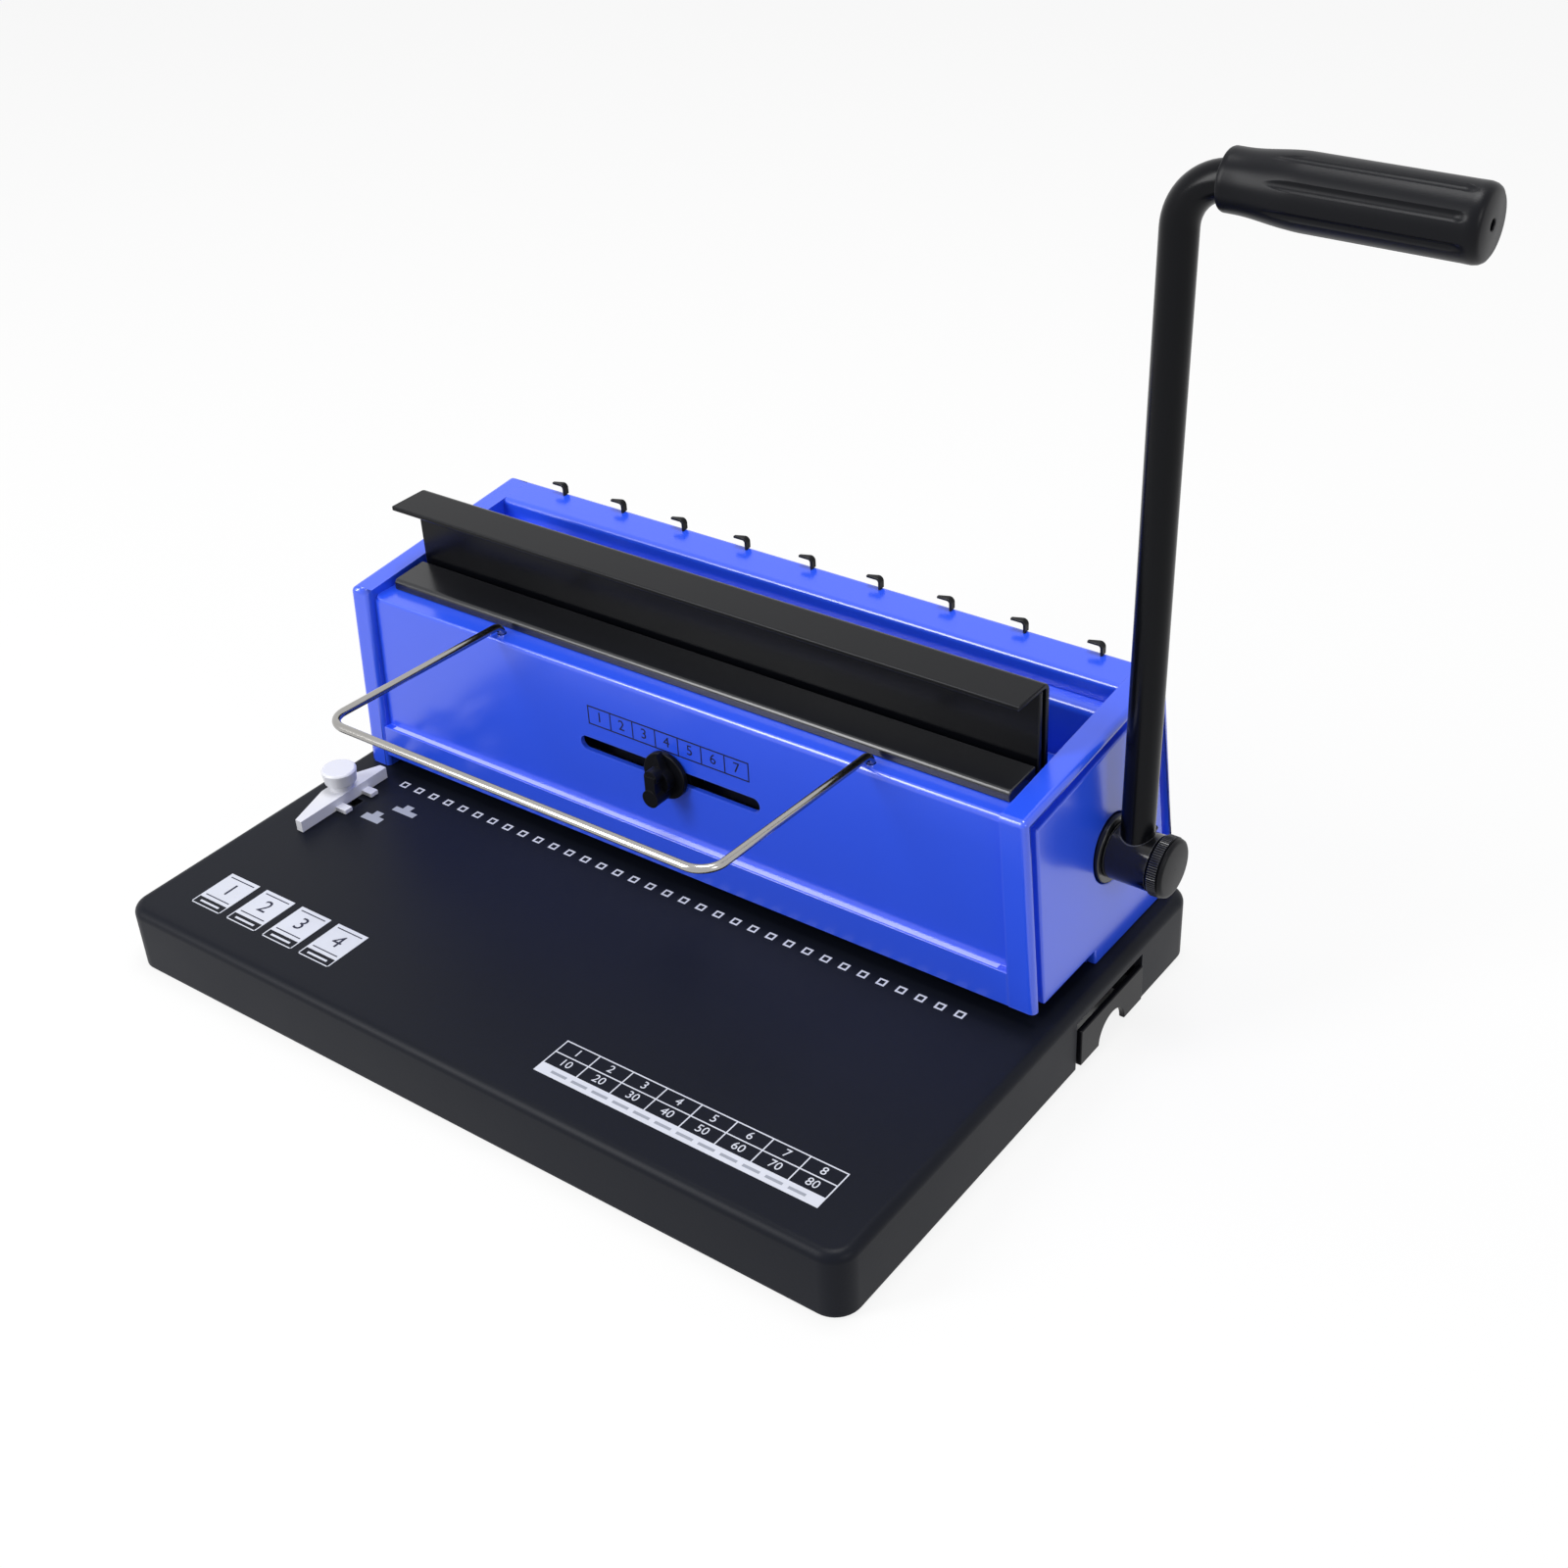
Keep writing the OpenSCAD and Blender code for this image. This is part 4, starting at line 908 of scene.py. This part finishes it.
@dataclass
class Base(Assembly):
    """Base shell and feet, with the prints on the table.

    The bars' and the rules' places across are counted from the edges of their band and plate.
    """

    top_mm: float = TABLE_MM
    feet_mm: float = 0.4
    feet_steps: int = 2
    mark_count: int = 34
    mark_pitch_mm: float = 8.467
    mark_y_mm: float = 5.2
    mark_side_mm: float = 3.7
    mark_line_mm: float = 0.75
    table_left_mm: float = 30.4
    table_right_mm: float = 153.0
    table_rows_mm: tuple[float, ...] = (-83.7, -90.3, -96.9, -102.0)
    table_columns: int = 8
    table_tens: int = 10
    table_line_mm: float = 0.5
    table_type_mm: float = 5.2
    bar_count: int = 12
    bar_first_mm: float = 6.0
    bar_wide_mm: float = 7.0
    bar_pitch_mm: float = 9.4
    bar_across_mm: Pair = (1.9, 3.1)
    plate_count: int = 4
    plate_left_mm: float = -152.9
    plate_pitch_mm: float = 20.5
    plate_wide_mm: float = 16.5
    plate_y_mm: Pair = (-101.5, -79.8)
    plate_foot_mm: float = 4.6
    plate_line_mm: float = 0.5
    plate_type_mm: float = 10.0
    plate_type_level: float = 1.6
    foot_inset_mm: float = 3.0
    foot_across_mm: Pair = (2.0, 3.0)
    rule_inset_mm: float = 1.6
    rule_across_mm: Pair = (1.7, 2.2)
    guide_blocks_mm: tuple[tuple[float, float, float, float], ...] = (
        (-138.5, -22.5, -128.5, -18.5),
        (-135.5, -18.5, -131.5, -15.5),
        (-131.0, -11.5, -119.0, -8.5),
        (-127.5, -8.5, -123.5, -5.5),
    )

    def build(self) -> None:
        """Builds the base's shown copy, its feet and its prints."""
        self.show("base_shell", "frame", "base_paint", SLATE_POWDER)
        self.show("rubber_feet", "frame", "rubber", BLACK_RUBBER, self.feet_mm, self.feet_steps)
        self.marks()
        self.table()
        self.plates()
        self.guide_marks()

    def ink_height(self, layers: float = 0.5) -> float:
        """Returns a height over the table, in millimetres, counted in layers of ink."""
        return self.top_mm + layers * INK_MM

    def layer(self, x0: float, y0: float, x1: float, y1: float, level: int = 0) -> Box:
        """Thin box of ink on the table, in millimetres.

        Args:
            x0: left edge.
            y0: front edge.
            x1: right edge.
            y1: back edge.
            level: layers of ink below it.
        Returns:
            Its low and high corner.
        """
        low = self.top_mm - SUNK_MM + level * INK_MM
        return (x0, y0, low), (x1, y1, self.top_mm + (level + 1) * INK_MM)

    def marks(self) -> None:
        """Row of square outlines at the holes' pitch."""
        half = (self.mark_count - 1) * self.mark_pitch_mm / 2
        mesh = self.repeats.mesh(
            Repeat.OUTLINES,
            WHITE_INK,
            Count=self.mark_count,
            Start=(-half * MM, self.mark_y_mm * MM, self.ink_height() * MM),
            Step=(self.mark_pitch_mm * MM, 0.0, 0.0),
            Side=(self.mark_side_mm - self.mark_line_mm) * MM,
            Line=self.mark_line_mm * math.sqrt(2) * MM,
            Thick=INK_MM * MM,
        )
        put_print("hole_marks", mesh, WHITE_INK)

    def table(self) -> None:
        """Printed table: lines, a light band with grey bars, and plain numbers."""
        left, right, line = self.table_left_mm, self.table_right_mm, self.table_line_mm
        top, middle, low, front = self.table_rows_mm
        step = (right - left) / self.table_columns
        columns = self.repeats.mesh(
            Repeat.BARS,
            WHITE_INK,
            Count=self.table_columns + 1,
            Start=(left * MM, (top + low) / 2 * MM, self.ink_height() * MM),
            Step=(step * MM, 0.0, 0.0),
            Size=(line * MM, (top - low) * MM, INK_MM * MM),
        )
        put_print("table_columns", columns, WHITE_INK)
        x0, x1 = left - line / 2, right + line / 2
        rows = [self.layer(x0, y - line / 2, x1, y + line / 2, 1) for y in (top, middle)]
        rows.append(self.layer(x0, front, x1, low, 1))
        put_print("table_rows", slabs(rows), WHITE_INK)
        labels = []
        for i in range(self.table_columns):
            x = left + (i + 0.5) * step
            for number, y in (
                (i + 1, (top + middle) / 2),
                (self.table_tens * (i + 1), (middle + low) / 2),
            ):
                labels.append((str(number), (x, y, self.ink_height())))
        numbers = numerals(labels, self.table_type_mm, Facing.TABLE)
        put_print("table_numbers", numbers, WHITE_INK)
        bar_x, (near, far) = left + self.bar_first_mm, self.bar_across_mm
        first = self.layer(bar_x, front + near, bar_x + self.bar_wide_mm, front + far, 2)
        a, b = (Vector(corner) * MM for corner in first)
        bars = self.repeats.mesh(
            Repeat.BARS,
            GREY_INK,
            Count=self.bar_count,
            Start=tuple((a + b) / 2),
            Step=(self.bar_pitch_mm * MM, 0.0, 0.0),
            Size=tuple(b - a),
        )
        put_print("band_bars", bars, GREY_INK)

    def plates(self) -> None:
        """Light plates with plain numbers between two rules, each over a dark foot."""
        near, far = self.plate_y_mm
        foot, line = near + self.plate_foot_mm, self.plate_line_mm
        bar_near, bar_far = self.foot_across_mm
        rule_near, rule_far = self.rule_across_mm
        lights, labels, rules = [], [], []
        for i in range(self.plate_count):
            x0 = self.plate_left_mm + i * self.plate_pitch_mm
            x1 = x0 + self.plate_wide_mm
            bar0, bar1 = x0 + self.foot_inset_mm, x1 - self.foot_inset_mm
            rule0, rule1 = x0 + self.rule_inset_mm, x1 - self.rule_inset_mm
            lights += [
                self.layer(x0, foot, x1, far),
                self.layer(x0, near, x1, near + line),
                self.layer(x0, near, x0 + line, foot),
                self.layer(x1 - line, near, x1, foot),
                self.layer(bar0, near + bar_near, bar1, near + bar_far),
            ]
            rules += [
                self.layer(rule0, far - rule_far, rule1, far - rule_near, 1),
                self.layer(rule0, foot + rule_near, rule1, foot + rule_far, 1),
            ]
            height = self.ink_height(self.plate_type_level)
            labels.append((str(i + 1), ((x0 + x1) / 2, (foot + far) / 2, height)))
        put_print("plate_grounds", slabs(lights), WHITE_INK)
        put_print("plate_lines", slabs(rules), DARK_INK)
        numbers = numerals(labels, self.plate_type_mm, Facing.TABLE)
        put_print("plate_numbers", numbers, DARK_INK)

    def guide_marks(self) -> None:
        """Grey setting marks beside the edge guide."""
        blocks = [self.layer(*block) for block in self.guide_blocks_mm]
        put_print("guide_marks", slabs(blocks), GREY_INK)


@dataclass
class Panel(Assembly):
    """Scale on the front panel over the size slot."""

    left_mm: float = -37.0
    right_mm: float = 41.0
    low_mm: float = 88.0
    high_mm: float = 96.0
    face_mm: float = PANEL_MM
    line_mm: float = 0.5
    type_mm: float = 6.4
    cells: int = 7

    def build(self) -> None:
        """Builds the scale's cell lines, rails and plain numbers."""
        step = (self.right_mm - self.left_mm) / self.cells
        face = self.face_mm - INK_MM / 2
        middle = (self.low_mm + self.high_mm) / 2
        lines = self.repeats.mesh(
            Repeat.BARS,
            DARK_INK,
            Count=self.cells + 1,
            Start=(self.left_mm * MM, face * MM, middle * MM),
            Step=(step * MM, 0.0, 0.0),
            Size=(self.line_mm * MM, INK_MM * MM, (self.high_mm - self.low_mm) * MM),
        )
        put_print("scale_cells", lines, DARK_INK)
        half = self.line_mm / 2
        x0, x1 = self.left_mm - half, self.right_mm + half
        rails = [
            ((x0, self.face_mm - 2 * INK_MM, z - half), (x1, self.face_mm, z + half))
            for z in (self.low_mm, self.high_mm)
        ]
        put_print("scale_rails", slabs(rails), DARK_INK)
        labels = [
            (str(i + 1), (self.left_mm + (i + 0.5) * step, face, middle))
            for i in range(self.cells)
        ]
        numbers = numerals(labels, self.type_mm, Facing.PANEL)
        put_print("scale_numbers", numbers, DARK_INK)


@dataclass
class Press(Assembly):
    """Closing bar with its face, and the fixed jaw in front of it."""

    edge_mm: float = 0.45

    def build(self) -> None:
        """Builds the bars with their small rolled edges."""
        self.show("fixed_jaw", "frame", "black_paint", BLACK_STEEL, self.edge_mm)
        self.show("closing_bar", "press", "black_paint", BLACK_ENAMEL, self.edge_mm)
        self.show("closing_face", "press", "black_paint", BLACK_ENAMEL, self.edge_mm)


@dataclass
class Handle(Assembly):
    """Crank: hub, leaning rod, fluted grip and the knurled clamp knob.

    A rounding is a row of pairs: how far from the end, and how far below the full radius.
    """

    rod_x_mm: float = 173.163
    axis_y_mm: float = 70.4
    axis_z_mm: float = 71.8
    lean: float = 0.7
    reach_mm: float = 248.8
    hub_edge_mm: float = 0.5
    grip_in_mm: float = 14.5
    grip_long_mm: float = 79.0
    grip_r_mm: float = 11.4
    grip_sides: int = 320
    grip_steps: int = 64
    neck_r_mm: float = 9.6
    neck_round_mm: tuple[Pair, ...] = ((0.0, 0.8), (0.25, 0.3), (0.9, 0.0))
    swell_from_mm: float = 4.0
    swell_long_mm: float = 21.0
    end_mm: float = 3.0
    end_round_mm: tuple[Pair, ...] = ((1.6, 0.3), (0.6, 0.9), (0.0, 1.9))
    end_wall_mm: float = 8.0
    bore_r_mm: float = 6.22
    mouth_r_mm: float = 6.8
    mouth_mm: float = 2.8
    hole_r_mm: float = 1.7
    hole_round_mm: float = 0.3
    flutes: int = 8
    flute_r_mm: float = 2.0
    flute_deep_mm: float = 0.8
    flute_from_mm: float = 11.0
    flute_to_mm: float = 74.0
    flute_fade_mm: float = 1.6
    knob_x_mm: float = 182.163
    knob_r_mm: float = 11.6
    knob_thick_mm: float = 6.5
    knob_sides: int = 128
    knob_near_mm: tuple[Pair, ...] = ((0.0, 1.1), (0.5, 0.5), (0.9, 0.35))
    knob_far_mm: tuple[Pair, ...] = (
        (2.1, 0.35), (1.8, 0.8), (1.4, 0.35), (0.6, 0.6), (0.15, 1.2), (0.0, 2.0)
    )
    knob_axis_r_mm: float = 0.2
    stud_r_mm: float = 4.02
    ridges: int = 76
    ridge_mm: Pair = (0.82, 0.62)
    ridge_sunk_mm: float = 0.42
    ridge_from_mm: float = 0.95
    ridge_long_mm: float = 3.4

    def build(self) -> None:
        """Builds the crank's and the clamp's pieces."""
        self.show("crank_rod", "crank", "black_paint", BLACK_ENAMEL)
        self.show("handle_hub", "crank", "black_paint", GLOSS_BLACK, self.hub_edge_mm)
        self.show("hub_screw", "crank", "black_paint", BLACK_ENAMEL)
        self.show("shaft_flange", "frame", "black_paint", GLOSS_BLACK, self.hub_edge_mm)
        self.grip()
        self.knob()

    def flute_reach(self, along: float, turn: float) -> float:
        """Finds the radius that the flutes leave at a place on the grip.

        Args:
            along: distance from the grip's inner end.
            turn: angle round the grip.
        Returns:
            The radius, well over the grip's own where there is no flute.
        """
        pitch = 360 / self.flutes
        off = abs(turn % pitch - pitch / 2)
        if along < self.flute_from_mm or along > self.flute_to_mm:
            return 2 * self.grip_r_mm
        fade = min(1.0, (self.flute_to_mm - along) / self.flute_fade_mm)
        centre = self.grip_r_mm + self.flute_r_mm - self.flute_deep_mm * math.sqrt(fade)
        across = centre * math.sin(math.radians(off))
        if across >= self.flute_r_mm:
            return 2 * self.grip_r_mm
        return centre * math.cos(math.radians(off)) - math.sqrt(self.flute_r_mm**2 - across**2)

    def grip(self) -> None:
        """Grip that swells smoothly from its neck, with single flutes."""
        long, full, neck = self.grip_long_mm, self.grip_r_mm, self.neck_r_mm
        wall = long - self.end_wall_mm
        first, last = self.neck_round_mm[-1][0], long - self.end_mm
        ring = [(self.mouth_mm, self.bore_r_mm)]
        ring += [(self.mouth_mm, self.mouth_r_mm), (0.0, self.mouth_r_mm)]
        ring += [(along, neck - below) for along, below in self.neck_round_mm]
        for step in range(1, self.grip_steps + 1):
            along = first + step * (last - first) / self.grip_steps
            share = min(1.0, max(0.0, (along - self.swell_from_mm) / self.swell_long_mm))
            smooth = share * share * (3 - 2 * share)
            ring.append((along, neck + (full - neck) * smooth))
        ring += [(long - back, full - below) for back, below in self.end_round_mm]
        ring += [(long, self.hole_r_mm + self.hole_round_mm)]
        ring += [(long - self.hole_round_mm, self.hole_r_mm)]
        ring += [(wall, self.hole_r_mm), (wall, self.bore_r_mm)]
        start = (self.grip_in_mm, 0.0, self.reach_mm)
        mesh = turned(ring, start, self.grip_sides, self.flute_reach)
        foot = Vector((self.rod_x_mm, self.axis_y_mm, self.axis_z_mm)) * MM
        tilt = Matrix.Rotation(math.radians(self.lean), 4, "Y")
        mesh.transform(Matrix.Translation(foot) @ tilt)
        piece = put("fluted_grip", mesh)
        ride_on(piece, "crank", BLACK_ABS)
        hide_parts("handle_grip")

    def knob(self) -> None:
        """Clamp knob: a smooth flat face behind a band of straight knurling."""
        r, thick, axis = self.knob_r_mm, self.knob_thick_mm, self.knob_axis_r_mm
        ring = [(0.0, self.stud_r_mm)]
        ring += [(along, r - below) for along, below in self.knob_near_mm]
        ring += [(thick - back, r - below) for back, below in self.knob_far_mm]
        ring += [(thick, axis), (thick / 2, axis), (thick / 2, self.stud_r_mm)]
        start = (self.knob_x_mm, self.axis_y_mm, self.axis_z_mm)
        piece = put("clamp_wheel", turned(ring, start, self.knob_sides))
        ride_on(piece, "clamp", BLACK_ABS)
        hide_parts("clamp_knob")
        middle = self.knob_x_mm + self.ridge_from_mm + self.ridge_long_mm / 2
        ridges = self.repeats.mesh(
            Repeat.RIDGES,
            GLOSS_BLACK,
            Count=self.ridges,
            Radius=(r - self.ridge_sunk_mm) * MM,
            Size=(self.ridge_mm[0] * MM, self.ridge_mm[1] * MM, self.ridge_long_mm * MM),
            Middle=(middle * MM, self.axis_y_mm * MM, self.axis_z_mm * MM),
            Turn=(0.0, math.pi / 2, 0.0),
        )
        ride_on(put("clamp_knurl", ridges), "clamp", GLOSS_BLACK)


@dataclass
class Settings(Assembly):
    """Size knob, edge guide, sheet rest and chip tray."""

    knob_mm: float = 0.7
    slider_mm: float = 0.4
    guide_mm: float = 0.6
    lock_mm: float = 0.3
    tray_mm: float = 0.4

    def build(self) -> None:
        """Builds the operator's smaller pieces."""
        for node, body, width_mm in (
            ("wing_knob", "size_knob", self.knob_mm),
            ("wing_disc", "size_knob", self.slider_mm),
            ("size_slider", "size_setting", self.slider_mm),
        ):
            self.show(node, body, "black_plastic", BLACK_ABS, width_mm)
        self.show("edge_guide", "guide", "ivory_plastic", IVORY_ABS, self.guide_mm)
        self.show("guide_knob", "guide_lock", "ivory_plastic", IVORY_ABS, self.lock_mm)
        self.show("sheet_rest", "rest", "chrome", CHROME)
        self.show("chip_tray", "tray", "black_plastic", BLACK_ABS, self.tray_mm)


@dataclass
class Works(Assembly):
    """Inner pieces that keep their CAD shape and take a finish."""

    steel: tuple[str, ...] = (
        "left_side_plate", "right_side_plate", "die_plate", "paper_stop", "stripper_plate",
        "spring_brackets", "return_springs", "tray_rails", "frame_screws", "housing_screws",
        "stop_rail", "drive_shaft", "left_pinion", "right_pinion", "clamp_stud", "punch_bar",
        "punch_pins", "left_rack", "right_rack", "spring_lugs", "press_screws", "wing_spindle",
        "guide_nut", "guide_bolt",
    )
    bronze: tuple[str, ...] = ("shaft_bushes",)
    plastic: tuple[str, ...] = ("rest_sockets",)

    def build(self) -> None:
        """Gives each inner node its finish."""
        for finish, nodes in (
            (GROUND_STEEL, self.steel),
            (TURNED_BRONZE, self.bronze),
            (BLACK_ABS, self.plastic),
        ):
            for node in nodes:
                mesh = self.frame["nodes"][node].data
                mesh.materials.clear()
                mesh.materials.append(finish.material())
                LOG.info("%s in %s", node, finish.name)


@dataclass(frozen=True)
class Viewpoint:
    """Camera at the photograph's viewing angle."""

    azimuth: float = 38.065
    elevation: float = 33.382
    roll: float = -3.194
    place_mm: Point = (456.2, -493.9, 519.0)
    focal_px: float = 2163.28
    picture_px: float = 1600.0
    sensor_mm: float = 36.0
    nearest: float = 0.05
    farthest: float = 50.0

    def build(self) -> None:
        """Makes the camera and sets it as the scene's."""
        a, e, r = (math.radians(v) for v in (self.azimuth, self.elevation, self.roll))
        back = Vector((math.sin(a) * math.cos(e), -math.cos(a) * math.cos(e), math.sin(e)))
        right = Vector((math.cos(a), math.sin(a), 0.0))
        up = back.cross(right)
        across = math.cos(r) * right + math.sin(r) * up
        above = -math.sin(r) * right + math.cos(r) * up
        camera = bpy.data.cameras.new("viewpoint")
        camera.sensor_width = self.sensor_mm
        camera.lens = self.sensor_mm * self.focal_px / self.picture_px
        camera.clip_start, camera.clip_end = self.nearest, self.farthest
        holder = bpy.data.objects.new("viewpoint", camera)
        turn = Matrix((across, above, back)).transposed().to_4x4()
        holder.matrix_world = Matrix.Translation(Vector(self.place_mm) * MM) @ turn
        bpy.context.scene.collection.objects.link(holder)
        bpy.context.scene.camera = holder


@dataclass(frozen=True)
class Lamp:
    """Softbox that looks at a point."""

    name: str
    place: Point
    target: Point
    wide: float
    tall: float
    watts: float

    def build(self) -> None:
        """Makes the area light."""
        light = bpy.data.lights.new(self.name, "AREA")
        light.shape, light.energy = "RECTANGLE", self.watts
        light.size, light.size_y = self.wide, self.tall
        holder = bpy.data.objects.new(self.name, light)
        holder.location = self.place
        holder.rotation_mode = "QUATERNION"
        aim = Vector(self.target) - Vector(self.place)
        holder.rotation_quaternion = aim.to_track_quat("-Z", "Y")
        bpy.context.scene.collection.objects.link(holder)


@dataclass
class Studio:
    """White floor and surround with soft lamps."""

    floor_half: float = 6.0
    floor_drop: float = 0.0003
    paper: str = "#e6e6e6"
    under_base: Pair = (0.1665, 0.1085)
    under_soft: float = 0.003
    sky: float = 0.42
    shown: float = 0.86
    lamps: tuple[Lamp, ...] = (
        Lamp(
            "top_softbox", place=(0.1, 0.1, 1.6), target=(0.0, 0.05, 0.1),
            wide=0.6, tall=0.6, watts=14.0,
        ),
        Lamp(
            "front_left_softbox", place=(-1.05, -1.55, 1.2), target=(0.0, 0.0, 0.1),
            wide=0.6, tall=1.5, watts=34.0,
        ),
        Lamp(
            "right_softbox", place=(1.7, -0.3, 0.8), target=(0.1, 0.05, 0.1),
            wide=0.5, tall=0.5, watts=4.5,
        ),
    )

    def build(self) -> None:
        """Builds floor, surround, lamps and view settings."""
        work = bmesh.new()
        drop = Matrix.Translation((0, 0, -self.floor_drop))
        bmesh.ops.create_grid(work, x_segments=1, y_segments=1, size=self.floor_half, matrix=drop)
        mesh = bpy.data.meshes.new("floor")
        work.to_mesh(mesh)
        work.free()
        floor = put("floor", mesh)
        mesh.materials.append(self.floor_material())
        self.surround()
        for lamp in self.lamps:
            lamp.build()
        bpy.context.scene.view_settings.view_transform = "Standard"

    def seen(self, tree: Tree, most: float) -> Node:
        """Tells what the camera, gloss or glass sees from what only lights the object.

        Args:
            tree: node tree of the floor or the surround.
            most: value for what is seen.
        Returns:
            A node with that value, or 0 for light.
        """
        path = add_node(tree, "ShaderNodeLightPath").outputs
        every = path["Is Camera Ray"]
        for ray in ("Is Glossy Ray", "Is Transmission Ray"):
            every = add_node(tree, "ShaderNodeMath", {0: every, 1: path[ray]}, operation="MAXIMUM")
        return add_node(tree, "ShaderNodeMath", {0: every, 1: most}, operation="MULTIPLY")

    def floor_material(self) -> Material:
        """White paper floor that keeps the object's shadow.

        Returns:
            The material.
        """
        made = bpy.data.materials.new("paper_floor")
        tree = empty_tree(made)
        paper = add_node(tree, "ShaderNodeBsdfDiffuse", {"Color": linear(self.paper)})
        white = add_node(tree, "ShaderNodeEmission", {"Color": WHITE, "Strength": 1.0})
        share = add_node(
            tree,
            "ShaderNodeMath",
            {0: self.seen(tree, self.shown), 1: self.open_floor(tree)},
            operation="MULTIPLY",
        )
        mixed = add_node(tree, "ShaderNodeMixShader", {0: share, 1: paper, 2: white})
        add_node(tree, "ShaderNodeOutputMaterial", {"Surface": mixed})
        return made

    def open_floor(self, tree: Tree) -> Node:
        """Tells the open floor from the floor under the base, where no light falls.

        Args:
            tree: the floor's node tree.
        Returns:
            A node that is 0 under the base and 1 around it.
        """
        place = add_node(tree, "ShaderNodeTexCoord").outputs["Object"]
        axes = add_node(tree, "ShaderNodeSeparateXYZ", {0: place}).outputs
        past = []
        for axis, half in zip((axes["X"], axes["Y"]), self.under_base):
            far = add_node(tree, "ShaderNodeMath", {0: axis}, operation="ABSOLUTE")
            past.append(add_node(tree, "ShaderNodeMath", {0: far, 1: half}, operation="SUBTRACT"))
        most = add_node(tree, "ShaderNodeMath", {0: past[0], 1: past[1]}, operation="MAXIMUM")
        return add_node(
            tree,
            "ShaderNodeMapRange",
            {"Value": most, "From Min": -self.under_soft, "From Max": 0.0},
        )

    def surround(self) -> None:
        """White surround: plain where it is seen, softer as light."""
        world = bpy.data.worlds.new("surround")
        bpy.context.scene.world = world
        tree = empty_tree(world)
        soft, white = (
            add_node(tree, "ShaderNodeBackground", {"Color": WHITE, "Strength": strength})
            for strength in (self.sky, 1.0)
        )
        mixed = add_node(tree, "ShaderNodeMixShader", {0: self.seen(tree, 1.0), 1: soft, 2: white})
        add_node(tree, "ShaderNodeOutputWorld", {"Surface": mixed})


def main() -> None:
    """Builds the machine's looks in order."""
    logging.basicConfig(level=logging.INFO, format="%(message)s")
    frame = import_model()
    repeats = Repeats()
    Viewpoint().build()
    Studio().build()
    for assembly in (Housing, Base, Panel, Press, Handle, Settings, Works):
        assembly(frame, repeats).build()


if __name__ == "__main__":
    main()
